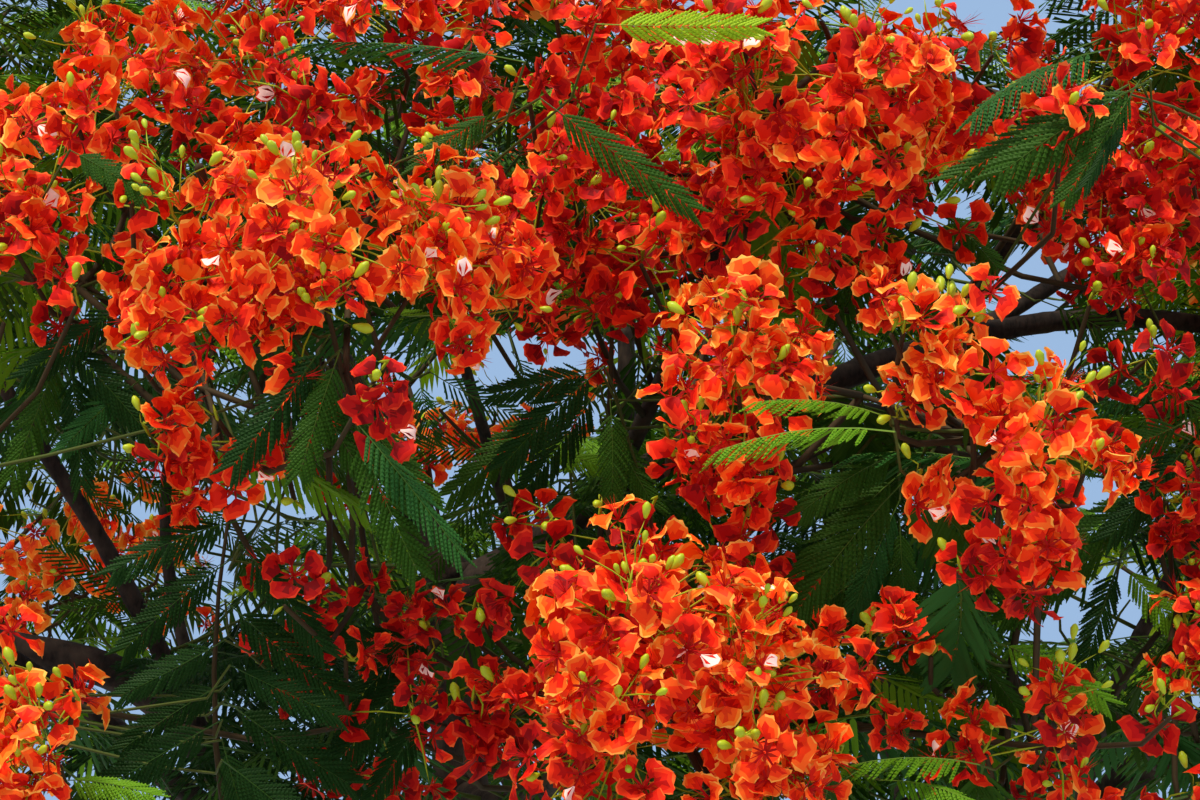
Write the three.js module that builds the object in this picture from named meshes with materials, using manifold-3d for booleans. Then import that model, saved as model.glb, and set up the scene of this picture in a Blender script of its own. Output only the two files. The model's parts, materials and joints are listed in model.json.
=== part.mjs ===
// Royal poinciana: a small spreading flame tree in full bloom.
// Millimetres, +Z up. The origin is the centre of the trunk's flat foot, at ground level.
// A short trunk forks into seven boughs. They arch out under a wide umbrella crown, and each
// limb carries one mass of twigs, feathery leaves and five-petalled blossom at its tip.

import * as THREE from "three";
import { mergeVertices } from "three/addons/utils/BufferGeometryUtils.js";
import Module from "manifold-3d";

const wasm = await Module();
wasm.setup();

// Driving sizes of the trunk
const TRUNK_TOP = 1900;
const TRUNK_LEAN = [30, -60];
const TRUNK_RADIUS = 150;
const TRUNK_TAPER = 22;
const FLARE = 118;
const FLARE_HEIGHT = 230;
const FLARE_LOBES = 5;
const FLARE_LOBE_SHARE = 0.34;
const TRUNK_SIDES = 15;
const TRUNK_STEPS = 9;
const CROTCH = 0.9;

// Driving sizes of the crown: rings of masses, each with its distance from the trunk and height
const RIM = { out: 2500, up: 3520 };
const SHOULDER = { out: 1780, up: 4330 };
const UPPER = { out: 960, up: 4830 };
const REACH = [730, 730, 500];
const STEM_LENGTH = 330;
const BACK_BOUGHS = [30, 90, 150];
const RIM_TURN = 15;
const UPPER_TURN = 30;
const LIMB_TAPER = 0.85;

// Driving sizes of what grows in a mass
const TWIGS = 8;
const TWIG_FOOT = 9;
const STEM_SIDES = 4;
const LEAF = { length: 480, width: 180, thick: 8, droop: 95, sunk: 30, most: 5, tries: 4 };
const BLOSSOM = { radii: [205, 155], notch: 0.5, rise: 14, cup: 66, petals: 5 };
const TWIG_TRIES = 4;
const TWIG_SWING = 0.8;
const SEED = 7;
const GOLDEN = Math.PI * (3 - Math.sqrt(5));

// Clearances
const GAP = 0.3;
const SPACE_MARGIN = 4;
const LIMB_MARGIN = 6;
const PIECE_MARGIN = 5;

const COLOURS = { bark: 0x6f6055, bough: 0x62534a, bloom: 0xe8380d };

const vec = (p) => new THREE.Vector3(...p);

// A seeded row of numbers from 0 to 1, in 32-bit steps, so that the same seed always grows the same tree.
function seeded(seed) {
  let state = (seed * 0x9e3779b1) >>> 0;
  return () => {
    state = (state + 0x6d2b79f5) >>> 0;
    let mixed = Math.imul(state ^ (state >>> 15), state | 1);
    mixed ^= mixed + Math.imul(mixed ^ (mixed >>> 7), mixed | 61);
    return ((mixed ^ (mixed >>> 14)) >>> 0) / 4294967296;
  };
}

// A closed geometry as a solid: only positions are kept, and shared vertices are merged.
function solidOf(geometry) {
  const bare = geometry.clone();
  bare.deleteAttribute("normal");
  bare.deleteAttribute("uv");
  const merged = mergeVertices(bare, 1e-3);
  return new wasm.Manifold(
    new wasm.Mesh({
      numProp: 3,
      vertProperties: merged.attributes.position.array,
      triVerts: new Uint32Array(merged.index.array),
    }),
  );
}

// A solid as a geometry with its own flat normals. A scrap that a cut left loose is dropped.
function geometryOf(solid) {
  const whole = solid.decompose().sort((a, b) => b.volume() - a.volume())[0];
  const mesh = whole.getMesh();
  const geometry = new THREE.BufferGeometry();
  geometry.setAttribute("position", new THREE.BufferAttribute(mesh.vertProperties, 3));
  geometry.setIndex(new THREE.BufferAttribute(mesh.triVerts, 1));
  geometry.computeVertexNormals();
  return geometry;
}

// A closed cylinder bent along a curve. radiusAt(t, angle) gives its radius at each share of the length,
// and extra swells it and lengthens both its ends, for cutting a neighbour clear of it.
function limbGeometry(curve, radiusAt, sides, steps, extra = 0) {
  const frames = curve.computeFrenetFrames(steps, false);
  const geometry = new THREE.CylinderGeometry(1, 1, 1, sides, steps);
  const place = geometry.attributes.position;
  for (let i = 0; i < place.count; i++) {
    const t = place.getY(i) + 0.5;
    const across = place.getX(i);
    const along = place.getZ(i);
    const step = Math.round(t * steps);
    const radius = radiusAt(t, Math.atan2(along, across)) + extra;
    const at = curve.getPointAt(t);
    if (step === 0 || step === steps)
      at.addScaledVector(curve.getTangentAt(t), step === 0 ? -extra : extra);
    at.addScaledVector(frames.normals[step], across * radius);
    at.addScaledVector(frames.binormals[step], -along * radius);
    place.setXYZ(i, at.x, at.y, at.z);
  }
  return geometry;
}

// The trunk: a lean, a taper, and a foot that flares into low lobes on a flat cut.
function trunkCurve() {
  const [x, y] = TRUNK_LEAN;
  return new THREE.CatmullRomCurve3([
    new THREE.Vector3(0, 0, 0),
    new THREE.Vector3(0, 0, TRUNK_TOP * 0.25),
    new THREE.Vector3(x * 0.5, y * 0.5, TRUNK_TOP * 0.62),
    new THREE.Vector3(x, y, TRUNK_TOP),
  ]);
}

function trunkSolid(extra) {
  const radiusAt = (t, angle) => {
    const foot = Math.exp((-t * TRUNK_TOP) / FLARE_HEIGHT);
    const lobes = 1 + FLARE_LOBE_SHARE * Math.cos(FLARE_LOBES * angle);
    const crotch = t > CROTCH ? Math.sqrt(1 - ((t - CROTCH) / (1 - CROTCH)) ** 2 * 0.6) : 1;
    return (TRUNK_RADIUS - TRUNK_TAPER * t + FLARE * foot * lobes) * crotch;
  };
  const geometry = limbGeometry(trunkCurve(), radiusAt, TRUNK_SIDES, TRUNK_STEPS, extra);
  const place = geometry.attributes.position;
  for (let i = 0; i < place.count; i++) if (place.getZ(i) < 1) place.setZ(i, 0);
  return solidOf(geometry);
}

// A place in the crown, by its turn about the trunk in degrees, distance out and height.
function inCrown(turn, { out, up }) {
  const angle = (turn * Math.PI) / 180;
  return [out * Math.cos(angle), out * Math.sin(angle), up];
}

// The limbs. Each leaves its parent at a share of the parent's length and passes its via points;
// centre is the middle of the mass that it carries. The limb stops a stem's length short of it.
function limbPlan() {
  const plan = [
    { name: "bough_front", parent: "trunk", from: 0.93, radii: [80, 47], fork: [-287, -1030, 3770],
      via: [[-130, -420, 2560], [-262, -870, 3340]] },
    { name: "bough_left", parent: "trunk", from: 0.86, radii: [70, 24], centre: [-2340, -980, 3720],
      via: [[-330, -300, 2530], [-850, -740, 3560], [-1230, -800, 3680]] },
    { name: "bough_right", parent: "trunk", from: 0.8, radii: [72, 24], centre: [2350, -900, 3760],
      via: [[400, -190, 2450], [1060, -500, 3480], [1400, -600, 3640]] },
    { name: "leader", parent: "trunk", from: 0.96, radii: [62, 20], centre: [60, 190, 5040],
      via: [[20, 30, 2900], [60, 120, 3900]] },
    { name: "limb_front_left", parent: "bough_front", from: 0.985, radii: [34, 15],
      centre: [-650, -2300, 4040], via: [[-395, -1130, 3930], [-500, -1450, 4070]] },
    { name: "limb_front_right", parent: "bough_front", from: 0.965, radii: [37, 17],
      centre: [1720, -1080, 4170], via: [[170, -1160, 3960], [650, -1090, 4190], [1000, -1010, 4280]] },
    { name: "limb_front_low", parent: "bough_front", from: 0.8, radii: [24, 14],
      centre: [80, -2230, 3210], via: [[-120, -1330, 3230]] },
    { name: "limb_near_right", parent: "limb_front_right", from: 0.42, radii: [19, 12],
      centre: [650, -2320, 3580], via: [[520, -1500, 3900]] },
    { name: "limb_near_top", parent: "limb_front_right", from: 0.2, radii: [19, 12],
      centre: [300, -2160, 4230], via: [[150, -1500, 4060]] },
    { name: "limb_fork_up", parent: "limb_front_right", from: 0.58, radii: [20, 12],
      centre: [870, -1760, 4400], via: [[790, -1190, 4370]] },
    { name: "limb_fork_out", parent: "limb_front_right", from: 0.62, radii: [20, 12],
      centre: [1270, -420, 4740], via: [[1010, -860, 4470]] },
    { name: "limb_left_up", parent: "bough_left", from: 0.47, radii: [27, 14],
      centre: [-1440, -1240, 4560], via: [[-960, -900, 3830], [-1110, -1010, 4050]] },
    { name: "limb_left_low", parent: "bough_left", from: 0.55, radii: [26, 14],
      centre: inCrown(228, { out: 2420, up: 3420 }), via: [[-1180, -1180, 3580]] },
    { name: "limb_right_low", parent: "bough_right", from: 0.5, radii: [22, 13],
      centre: [900, -1450, 3380], via: [[960, -890, 3430]] },
    { name: "limb_right_rim", parent: "bough_right", from: 0.64, radii: [24, 14],
      centre: inCrown(312, { out: 2480, up: 3500 }), via: [[1420, -1090, 3620]] },
    { name: "limb_right_up", parent: "bough_right", from: 0.56, radii: [24, 14],
      centre: inCrown(10, { out: 1560, up: 4500 }), via: [[1210, -150, 3980]] },
    { name: "limb_top_front", parent: "leader", from: 0.5, radii: [22, 12],
      centre: [-430, -870, 4790], via: [[-180, -240, 4060]] },
  ];
  for (const turn of BACK_BOUGHS) {
    const bough = `bough_back_${turn}`;
    plan.push({ name: bough, parent: "trunk", from: 0.84 + (turn % 60) / 600, radii: [66, 22],
      centre: inCrown(turn, SHOULDER),
      via: [inCrown(turn, { out: 330, up: 2500 }), inCrown(turn, { out: 980, up: 3560 })] });
    for (const side of [-1, 1])
      plan.push({ name: `limb_back_${turn + side * RIM_TURN}`, parent: bough, from: 0.5 - 0.06 * side,
        radii: [27, 14], centre: inCrown(turn + side * RIM_TURN, RIM),
        via: [inCrown(turn + side * RIM_TURN, { out: 1560, up: 3560 })] });
    plan.push({ name: `limb_upper_${turn + UPPER_TURN}`, parent: bough, from: 0.66, radii: [22, 12],
      centre: inCrown(turn + UPPER_TURN, UPPER),
      via: [inCrown(turn + UPPER_TURN * 0.7, { out: 980, up: 4130 })] });
  }
  return plan;
}

// Gives each limb its curve. A limb starts on its parent's axis, so that its foot can be cut to fit.
function limbsWithCurves() {
  const made = new Map([["trunk", { name: "trunk", curve: trunkCurve() }]]);
  for (const limb of limbPlan()) {
    const start = made.get(limb.parent).curve.getPointAt(limb.from);
    const via = limb.via.map(vec);
    const last = via[via.length - 1];
    let tip = limb.fork && vec(limb.fork);
    if (limb.centre) {
      const towards = vec(limb.centre).sub(last).normalize();
      tip = vec(limb.centre).addScaledVector(towards, -STEM_LENGTH);
      limb.tipAxis = towards;
    }
    limb.curve = new THREE.CatmullRomCurve3([start, ...via, tip]);
    made.set(limb.name, limb);
  }
  return made;
}

function limbSolid(limb, extra) {
  const [foot, end] = limb.radii;
  const big = foot > 40;
  const taper = (t) => foot + (end - foot) * Math.pow(t, LIMB_TAPER);
  return solidOf(limbGeometry(limb.curve, taper, big ? 6 : 5, big ? 6 : 4, extra));
}

// Tells whether points stay inside a mass's own space: nearer to its centre than to any other.
function spaceOf(index, centres) {
  const own = centres[index];
  const walls = centres
    .filter((other, j) => j !== index)
    .map((other) => ({
      out: other.clone().sub(own).normalize(),
      middle: other.clone().add(own).multiplyScalar(0.5),
    }));
  return (point, margin) =>
    walls.every(({ out, middle }) => out.dot(point.clone().sub(middle)) < -margin);
}

// Points along every limb with the radius there, for keeping leaves and twigs clear of them.
function limbBeads(limbs) {
  const beads = [];
  for (const limb of limbs.values()) {
    const [foot, end] = limb.radii ?? [TRUNK_RADIUS + FLARE, TRUNK_RADIUS];
    const count = Math.ceil(limb.curve.getLength() / 25);
    for (let i = 0; i <= count; i++) {
      const t = i / count;
      beads.push({ at: limb.curve.getPointAt(t), radius: foot + (end - foot) * t ** LIMB_TAPER });
    }
  }
  return beads;
}

function clearOf(beads, point, margin) {
  return beads.every(({ at, radius }) => at.distanceTo(point) > radius + margin);
}

// Tells whether a solid touches none of the others.
function apart(solid, others) {
  return others.every((other) => solid.minGap(other, PIECE_MARGIN) >= PIECE_MARGIN);
}

// Points spread over a flat shape, from its rim corners to its middle.
function spread(corners) {
  const middle = corners.reduce((sum, c) => sum.add(c), new THREE.Vector3());
  middle.multiplyScalar(1 / corners.length);
  const points = [middle];
  corners.forEach((corner, i) => {
    const next = corners[(i + 1) % corners.length];
    for (const share of [0, 0.5]) {
      const rim = corner.clone().lerp(next, share);
      points.push(rim, rim.clone().lerp(middle, 0.5));
    }
  });
  return points;
}

// A twig: a three-sided cone from the stem, its point inside what it carries.
function twigSolid(from, to) {
  const run = to.clone().sub(from);
  const cone = new THREE.CylinderGeometry(0, TWIG_FOOT, run.length(), 3, 1);
  cone.translate(0, run.length() / 2, 0);
  const turn = new THREE.Quaternion().setFromUnitVectors(new THREE.Vector3(0, 1, 0), run.normalize());
  cone.applyQuaternion(turn);
  cone.translate(from.x, from.y, from.z);
  return solidOf(cone);
}

// A leaf: an octahedron drawn out to a thin eight-faced blade that droops towards its tip.
function leafPoints(root, heading) {
  const side = new THREE.Vector3(-heading.y, heading.x, 0).normalize();
  const place = (along, across, lift) =>
    root
      .clone()
      .addScaledVector(heading, along)
      .addScaledVector(side, across)
      .add(new THREE.Vector3(0, 0, lift - LEAF.droop * (along / LEAF.length) ** 2));
  const widest = LEAF.length * 0.52;
  return {
    px: place(LEAF.length, 0, 0),
    nx: place(-LEAF.sunk, 0, 0),
    py: place(widest, LEAF.width / 2, -18),
    ny: place(widest, -LEAF.width / 2, -18),
    pz: place(widest, 0, LEAF.thick / 2),
    nz: place(widest, 0, -LEAF.thick / 2),
  };
}

function leafSolid(corners) {
  const blade = new THREE.OctahedronGeometry(1);
  const place = blade.attributes.position;
  for (let i = 0; i < place.count; i++) {
    const at = [place.getX(i), place.getY(i), place.getZ(i)];
    const axis = at.findIndex((v) => Math.abs(v) > 0.5);
    const corner = corners[(at[axis] > 0 ? "p" : "n") + "xyz"[axis]];
    place.setXYZ(i, corner.x, corner.y, corner.z);
  }
  return solidOf(blade);
}

// A blossom: a shallow cup of five pointed petals, faced along its axis.
function blossomGeometry(axis, spin, size) {
  const star = new THREE.SphereGeometry(1, BLOSSOM.petals * 2, 2);
  const place = star.attributes.position;
  for (let i = 0; i < place.count; i++) {
    const level = place.getY(i);
    if (Math.abs(level) > 0.5) {
      place.setXYZ(i, 0, level > 0 ? BLOSSOM.rise : -BLOSSOM.cup, 0);
      continue;
    }
    const angle = Math.atan2(place.getZ(i), place.getX(i));
    const point = Math.round((angle / Math.PI) * BLOSSOM.petals);
    const isTip = Math.abs(point) % 2 === 0;
    const radius = size * (isTip ? 1 : BLOSSOM.notch);
    const lift = isTip ? BLOSSOM.cup * 0.55 : 0;
    place.setXYZ(i, radius * Math.cos(angle + spin), lift, radius * Math.sin(angle + spin));
  }
  star.applyQuaternion(
    new THREE.Quaternion().setFromUnitVectors(new THREE.Vector3(0, 1, 0), axis),
  );
  return star;
}

// Tells whether points on a piece lie in a mass's own space and clear of every limb.
function roomFor(mass, points, wide = 0) {
  return points.every(
    (c) => mass.inside(c, SPACE_MARGIN + wide) && clearOf(mass.beads, c, LIMB_MARGIN + wide),
  );
}

// A twig with its blossom, drawn back towards the stem until both lie in the mass's own space and
// touch nothing that has grown before. A smaller blossom is tried last. Null where there is no room.
function floweringTwig(mass, root, whole, facing, spin) {
  for (const size of BLOSSOM.radii) {
    const star = blossomGeometry(facing, spin, size);
    const place = star.attributes.position;
    for (let share = 1; share > 0.4; share -= 0.05) {
      const end = mass.centre.clone().addScaledVector(whole, share);
      const rim = [];
      for (let i = 0; i < place.count; i++)
        rim.push(new THREE.Vector3().fromBufferAttribute(place, i).add(end));
      const run = [0.15, 0.3, 0.45, 0.6, 0.75, 0.9].map((s) => root.clone().lerp(end, s));
      if (!roomFor(mass, rim) || !roomFor(mass, run, TWIG_FOOT)) continue;
      const blossom = solidOf(star.clone().translate(end.x, end.y, end.z));
      const twig = twigSolid(root, end.clone().addScaledVector(facing, -BLOSSOM.cup * 0.25));
      const others = [...mass.limbs, ...mass.grown.slice(1)];
      if (apart(blossom, [mass.grown[0], ...others]) && apart(twig, others))
        return { end, blossom, twig };
    }
  }
  return null;
}

// A leaf on a twig, swung round it until it lies in the mass's own space and touches only that twig.
function leafOnTwig(mass, base, turn, { side, swing, rise }) {
  for (let tried = 0; tried < LEAF.tries; tried++) {
    const angle = turn + side * (swing + tried * 0.55);
    const heading = new THREE.Vector3(Math.cos(angle), Math.sin(angle), rise).normalize();
    const corners = leafPoints(base, heading);
    const rim = spread([corners.nx, corners.py, corners.px, corners.ny]);
    if (!roomFor(mass, rim)) continue;
    const blade = leafSolid(corners);
    if (apart(blade, [...mass.limbs, ...mass.grown.slice(0, -1)])) return blade;
  }
  return null;
}

// The twigs of a mass, before they are fitted: the first leaves the stem at its point and rises, the
// last leaves it low down and hangs, and each is turned by the golden angle from the one before.
function twigPlan(seed) {
  const draw = seeded(seed);
  const plan = [];
  for (let k = 0; k < TWIGS; k++) {
    const lift = 1 - (1.62 * (k + 0.5)) / TWIGS;
    const twig = { lift, level: Math.sqrt(1 - lift * lift) };
    twig.turn = k * GOLDEN + draw() * 0.9;
    twig.reach = 0.84 + 0.16 * draw();
    twig.root = 0.97 - (0.66 * (k + 0.3 * draw())) / TWIGS;
    twig.spin = draw() * Math.PI;
    twig.blades = [-1, 1].map((side) => ({
      side,
      along: side < 0 ? 0.4 : 0.72,
      swing: 0.6 + 0.8 * draw(),
      rise: 0.1 + 0.3 * draw(),
    }));
    plan.push(twig);
  }
  return plan;
}

// Grows one mass: a stem from the limb's tip, its twigs, and leaves and blossom on them.
function massSolid(limb, index, centres, beads, limbSolids) {
  const centre = centres[index];
  const tip = limb.curve.getPointAt(1).addScaledVector(limb.tipAxis, GAP);
  const outward = new THREE.Vector3(centre.x, centre.y, 0).normalize();
  const stemRadius = (t) => limb.radii[1] * (1 - 0.45 * t);
  const stem = solidOf(limbGeometry(new THREE.LineCurve3(tip, centre), stemRadius, STEM_SIDES, 1));
  const inside = spaceOf(index, centres);
  const mass = { centre, beads, inside, limbs: limbSolids, grown: [stem] };
  let leaves = 0;
  for (const twig of twigPlan(SEED + index)) {
    const root = tip.clone().lerp(centre, twig.root);
    let made = null;
    let turn = twig.turn;
    for (let tried = 0; tried < TWIG_TRIES && !made; tried++) {
      turn = twig.turn + tried * TWIG_SWING;
      const heading = new THREE.Vector3(
        twig.level * Math.cos(turn),
        twig.level * Math.sin(turn),
        twig.lift,
      );
      const whole = heading.clone().multiply(vec(REACH)).multiplyScalar(twig.reach);
      const facing = heading.addScaledVector(outward, 0.35).add(new THREE.Vector3(0, 0, 0.45));
      made = floweringTwig(mass, root, whole, facing.normalize(), twig.spin);
    }
    if (!made) continue;
    mass.grown.push(made.blossom, made.twig);
    for (const blade of twig.blades) {
      const base = root.clone().lerp(made.end, blade.along);
      const leaf = leaves < LEAF.most && leafOnTwig(mass, base, turn, blade);
      if (!leaf) continue;
      mass.grown.splice(-1, 0, leaf);
      leaves++;
    }
  }
  return wasm.Manifold.union(mass.grown);
}

const tree = new THREE.Group();

function addMesh(name, solid, colour, roughness) {
  const material = new THREE.MeshStandardMaterial({ color: colour, roughness, metalness: 0 });
  const mesh = new THREE.Mesh(geometryOf(solid), material);
  mesh.name = name;
  tree.add(mesh);
}

const limbs = limbsWithCurves();
addMesh("trunk", trunkSolid(0), COLOURS.bark, 0.9);

// Each limb's foot is cut clear of its parent and of the limbs that were fitted before it.
const limbSolids = [trunkSolid(GAP)];
for (const limb of limbs.values()) {
  if (limb.name === "trunk") continue;
  let solid = limbSolid(limb, 0);
  for (const other of limbSolids) solid = solid.subtract(other);
  limbSolids.push(limbSolid(limb, GAP));
  addMesh(limb.name, solid, COLOURS.bough, 0.88);
}

const carriers = [...limbs.values()].filter((limb) => limb.centre);
const centres = carriers.map((limb) => vec(limb.centre));
const beads = limbBeads(limbs);
carriers.forEach((limb, index) => {
  const name = `mass_${limb.name.replace(/^(bough|limb)_/, "")}`;
  addMesh(name, massSolid(limb, index, centres, beads, limbSolids), COLOURS.bloom, 0.7);
});

export default tree;
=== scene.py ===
"""A small royal poinciana in full bloom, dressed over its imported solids.

Bark with relief replaces the trunk and limbs. Each mass of foliage is grown again by the rule of the
solids and carried on to curved twigs, feathery leaves, heads of five-petalled flowers, and buds.
"""

import json
import logging
import math
import random
from dataclasses import dataclass, field
from enum import Enum
from typing import Iterable, Sequence

import bpy
import numpy as np
from bpy.types import Material, Mesh, Node, NodeSocket, NodeTree
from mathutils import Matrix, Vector, noise

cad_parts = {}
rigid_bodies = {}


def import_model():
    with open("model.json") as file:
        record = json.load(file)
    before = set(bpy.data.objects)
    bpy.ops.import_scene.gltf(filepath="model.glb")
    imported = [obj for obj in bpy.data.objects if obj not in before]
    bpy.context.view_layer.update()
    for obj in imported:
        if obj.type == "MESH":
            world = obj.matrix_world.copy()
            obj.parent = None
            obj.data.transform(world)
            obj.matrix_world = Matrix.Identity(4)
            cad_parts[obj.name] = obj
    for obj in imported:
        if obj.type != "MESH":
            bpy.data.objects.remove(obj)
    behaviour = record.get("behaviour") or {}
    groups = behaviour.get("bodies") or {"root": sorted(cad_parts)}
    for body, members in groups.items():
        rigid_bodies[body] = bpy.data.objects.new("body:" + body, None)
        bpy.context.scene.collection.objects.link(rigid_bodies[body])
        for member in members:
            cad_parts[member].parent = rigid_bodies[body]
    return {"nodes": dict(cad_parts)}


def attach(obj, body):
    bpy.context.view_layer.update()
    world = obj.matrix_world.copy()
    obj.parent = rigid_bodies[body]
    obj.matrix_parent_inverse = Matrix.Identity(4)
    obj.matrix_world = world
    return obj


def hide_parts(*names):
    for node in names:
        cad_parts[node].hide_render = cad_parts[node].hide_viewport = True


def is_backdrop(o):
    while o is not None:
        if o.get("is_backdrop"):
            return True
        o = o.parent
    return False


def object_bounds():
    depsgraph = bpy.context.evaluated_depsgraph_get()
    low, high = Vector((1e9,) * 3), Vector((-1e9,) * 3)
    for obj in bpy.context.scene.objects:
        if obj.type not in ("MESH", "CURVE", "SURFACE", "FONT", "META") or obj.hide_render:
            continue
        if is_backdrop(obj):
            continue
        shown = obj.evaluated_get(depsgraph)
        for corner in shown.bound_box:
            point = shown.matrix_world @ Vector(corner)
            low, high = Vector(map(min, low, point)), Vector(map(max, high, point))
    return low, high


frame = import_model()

# Rows of places, of directions or of numbers.
Rows = np.ndarray
Pair = tuple[float, float]
Triple = tuple[float, float, float]
LOG = logging.getLogger("royal_poinciana")
MM = 0.001
GOLDEN = math.pi * (3 - math.sqrt(5))
UP = np.array((0.0, 0.0, 1.0))


def linear(colour: str) -> tuple[float, ...]:
    """Turns an sRGB hex colour into linear light, with an alpha of one."""
    parts = [int(colour[i : i + 2], 16) / 255 for i in (1, 3, 5)]
    return (*(c / 12.92 if c <= 0.04045 else ((c + 0.055) / 1.055) ** 2.4 for c in parts), 1.0)


def add_node(tree: NodeTree, kind: str, settings: dict | None = None, **links: object) -> Node:
    """Adds a node with its settings, values and links.

    Args:
        tree: The tree that the node joins.
        kind: The node's type name.
        settings: Properties of the node, by name, and values of its inputs, by number.
        **links: Sockets or values for inputs by name, with spaces written as underscores.

    Returns:
        The new node.
    """
    node = tree.nodes.new(kind)
    settings = settings or {}
    for name, value in settings.items():
        if isinstance(name, str):
            setattr(node, name, value)
    numbered = {name: value for name, value in settings.items() if isinstance(name, int)}
    for name, value in {**numbered, **links}.items():
        socket = node.inputs[name] if isinstance(name, int) else node.inputs[name.replace("_", " ")]
        if isinstance(value, NodeSocket):
            tree.links.new(value, socket)
        else:
            socket.default_value = value
    return node


def unit(vectors: Rows) -> Rows:
    """Scales one vector, or rows of them, to length one."""
    return vectors / np.maximum(np.linalg.norm(vectors, axis=-1, keepdims=True), 1e-9)


def turns_of(along: Rows, top: Rows) -> Rows:
    """Finds the Euler turns that bring the X axis to one direction and the Z axis nearest to another.

    Args:
        along: Rows of directions for the X axis.
        top: Rows of directions that the Z axis leans to.

    Returns:
        Rows of Euler angles in XYZ order.
    """
    x = unit(along)
    y = unit(np.cross(top, x))
    z = np.cross(x, y)
    pitch = -np.arcsin(np.clip(x[:, 2], -1, 1))
    return np.stack((np.arctan2(y[:, 2], z[:, 2]), pitch, np.arctan2(x[:, 1], x[:, 0])), axis=1)


def ring_about(axes: Rows, angles: Rows) -> Rows:
    """Finds rows of directions that are square to rows of unit axes, at an angle about each."""
    side = unit(np.cross(np.where(np.abs(axes[..., 2:]) > 0.9, np.array((1.0, 0.0, 0.0)), UP), axes))
    return np.cos(angles)[..., None] * side + np.sin(angles)[..., None] * np.cross(axes, side)


def faced(facing: Rows, spin: Rows) -> Rows:
    """Finds the Euler turns that bring the Z axis to directions, with a spin about each."""
    z = unit(facing)
    return turns_of(ring_about(z, spin), z)


class Detail(Enum):
    """How finely a flower or leaf is drawn: by how near the photograph's camera it grows."""

    CLOSE = "close"
    MIDDLE = "middle"
    FAR = "far"


class Tone(Enum):
    """The shade of a petal: the orange ones are painted sunlight shining through and the sunlit ones painted
    sunlight; deep red is the colour of old petals and painted shade on inner ones.
    """

    # The first tone is painted sunlight shining through the petals; the last is partly painted shade.
    GOLDEN = "golden"
    SUNLIT = "sunlit"
    SCARLET = "scarlet"
    CRIMSON = "crimson"


class Green(Enum):
    """The shade of a leaf, from the fresh tip of a shoot to an old leaf in the crown's own shadow; that
    darkest green is painted shade, and the bluish one a painted tint of skylight.
    """

    FRESH = "fresh"
    GRASS = "grass"
    DEEP = "deep"
    BLUISH = "bluish"
    SHADED = "shaded"


@dataclass(frozen=True)
class PhotoView:
    """The photograph's view: the camera stands on the ground and looks up into the crown."""

    place: Triple = (0.0, -7.9, 1.6)
    rise: float = 20.0
    lens: float = 112.8
    sensor: float = 36.0
    width: int = 1200
    height: int = 800

    def axes(self) -> tuple[Rows, Rows, Rows]:
        """Gives the view's forward, right and up directions."""
        angle = math.radians(self.rise)
        forward = np.array((0.0, math.cos(angle), math.sin(angle)))
        return forward, np.array((1.0, 0.0, 0.0)), np.array((0.0, -math.sin(angle), math.cos(angle)))

    def at(self, across: float, down: float, depth: float) -> Rows:
        """Finds the place that a pixel shows at a depth.

        Args:
            across: Pixels from the left edge.
            down: Pixels from the top edge.
            depth: Metres in front of the camera.

        Returns:
            The place, in metres.
        """
        forward, right, up = self.axes()
        step = depth * self.sensor / self.lens / self.width
        sideways = right * (across - self.width / 2) * step
        return np.array(self.place) + forward * depth + sideways + up * (self.height / 2 - down) * step

    def seen(self, places: Rows) -> Rows:
        """Projects places into the photograph.

        Args:
            places: Rows of places.

        Returns:
            Rows of pixels across, pixels down and depth.
        """
        forward, right, up = self.axes()
        away = np.atleast_2d(places) - np.array(self.place)
        depth = away @ forward
        step = depth * self.sensor / self.lens / self.width
        across = self.width / 2 + away @ right / step
        return np.stack((across, self.height / 2 - away @ up / step, depth), axis=1)

    def shows(self, across: float, down: float, margin: float) -> bool:
        """Tells whether a pixel lies in the frame, or outside it by less than a margin."""
        return -margin < across < self.width + margin and -margin < down < self.height + margin

    def make_camera(self) -> None:
        """Sets up the scene's camera."""
        data = bpy.data.cameras.new("photo_view")
        data.lens = self.lens
        data.sensor_width = self.sensor
        data.clip_end = 400.0
        camera = bpy.data.objects.new("photo_view", data)
        camera.location = self.place
        camera.rotation_euler = (math.radians(90 + self.rise), 0.0, 0.0)
        bpy.context.scene.collection.objects.link(camera)
        bpy.context.scene.camera = camera


@dataclass(frozen=True)
class PlainFinish:
    """A living surface with one base colour: the colours are dealt out by spray."""

    name: str
    colour: str
    roughness: float = 0.5
    shine: float = 0.2
    glow: float = 0.0

    def material(self) -> Material:
        """Makes the material, with a painted glow: a weak emission in its own colour that stands in for
        light coming through thin tissue.
        """
        made = bpy.data.materials.new(self.name)
        made.use_nodes = True
        shader = made.node_tree.nodes["Principled BSDF"]
        shader.inputs["Base Color"].default_value = linear(self.colour)
        shader.inputs["Roughness"].default_value = self.roughness
        shader.inputs["Specular IOR Level"].default_value = self.shine
        # Painted glow: emission in the base colour.
        shader.inputs["Emission Color"].default_value = linear(self.colour)
        shader.inputs["Emission Strength"].default_value = self.glow
        return made


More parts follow.
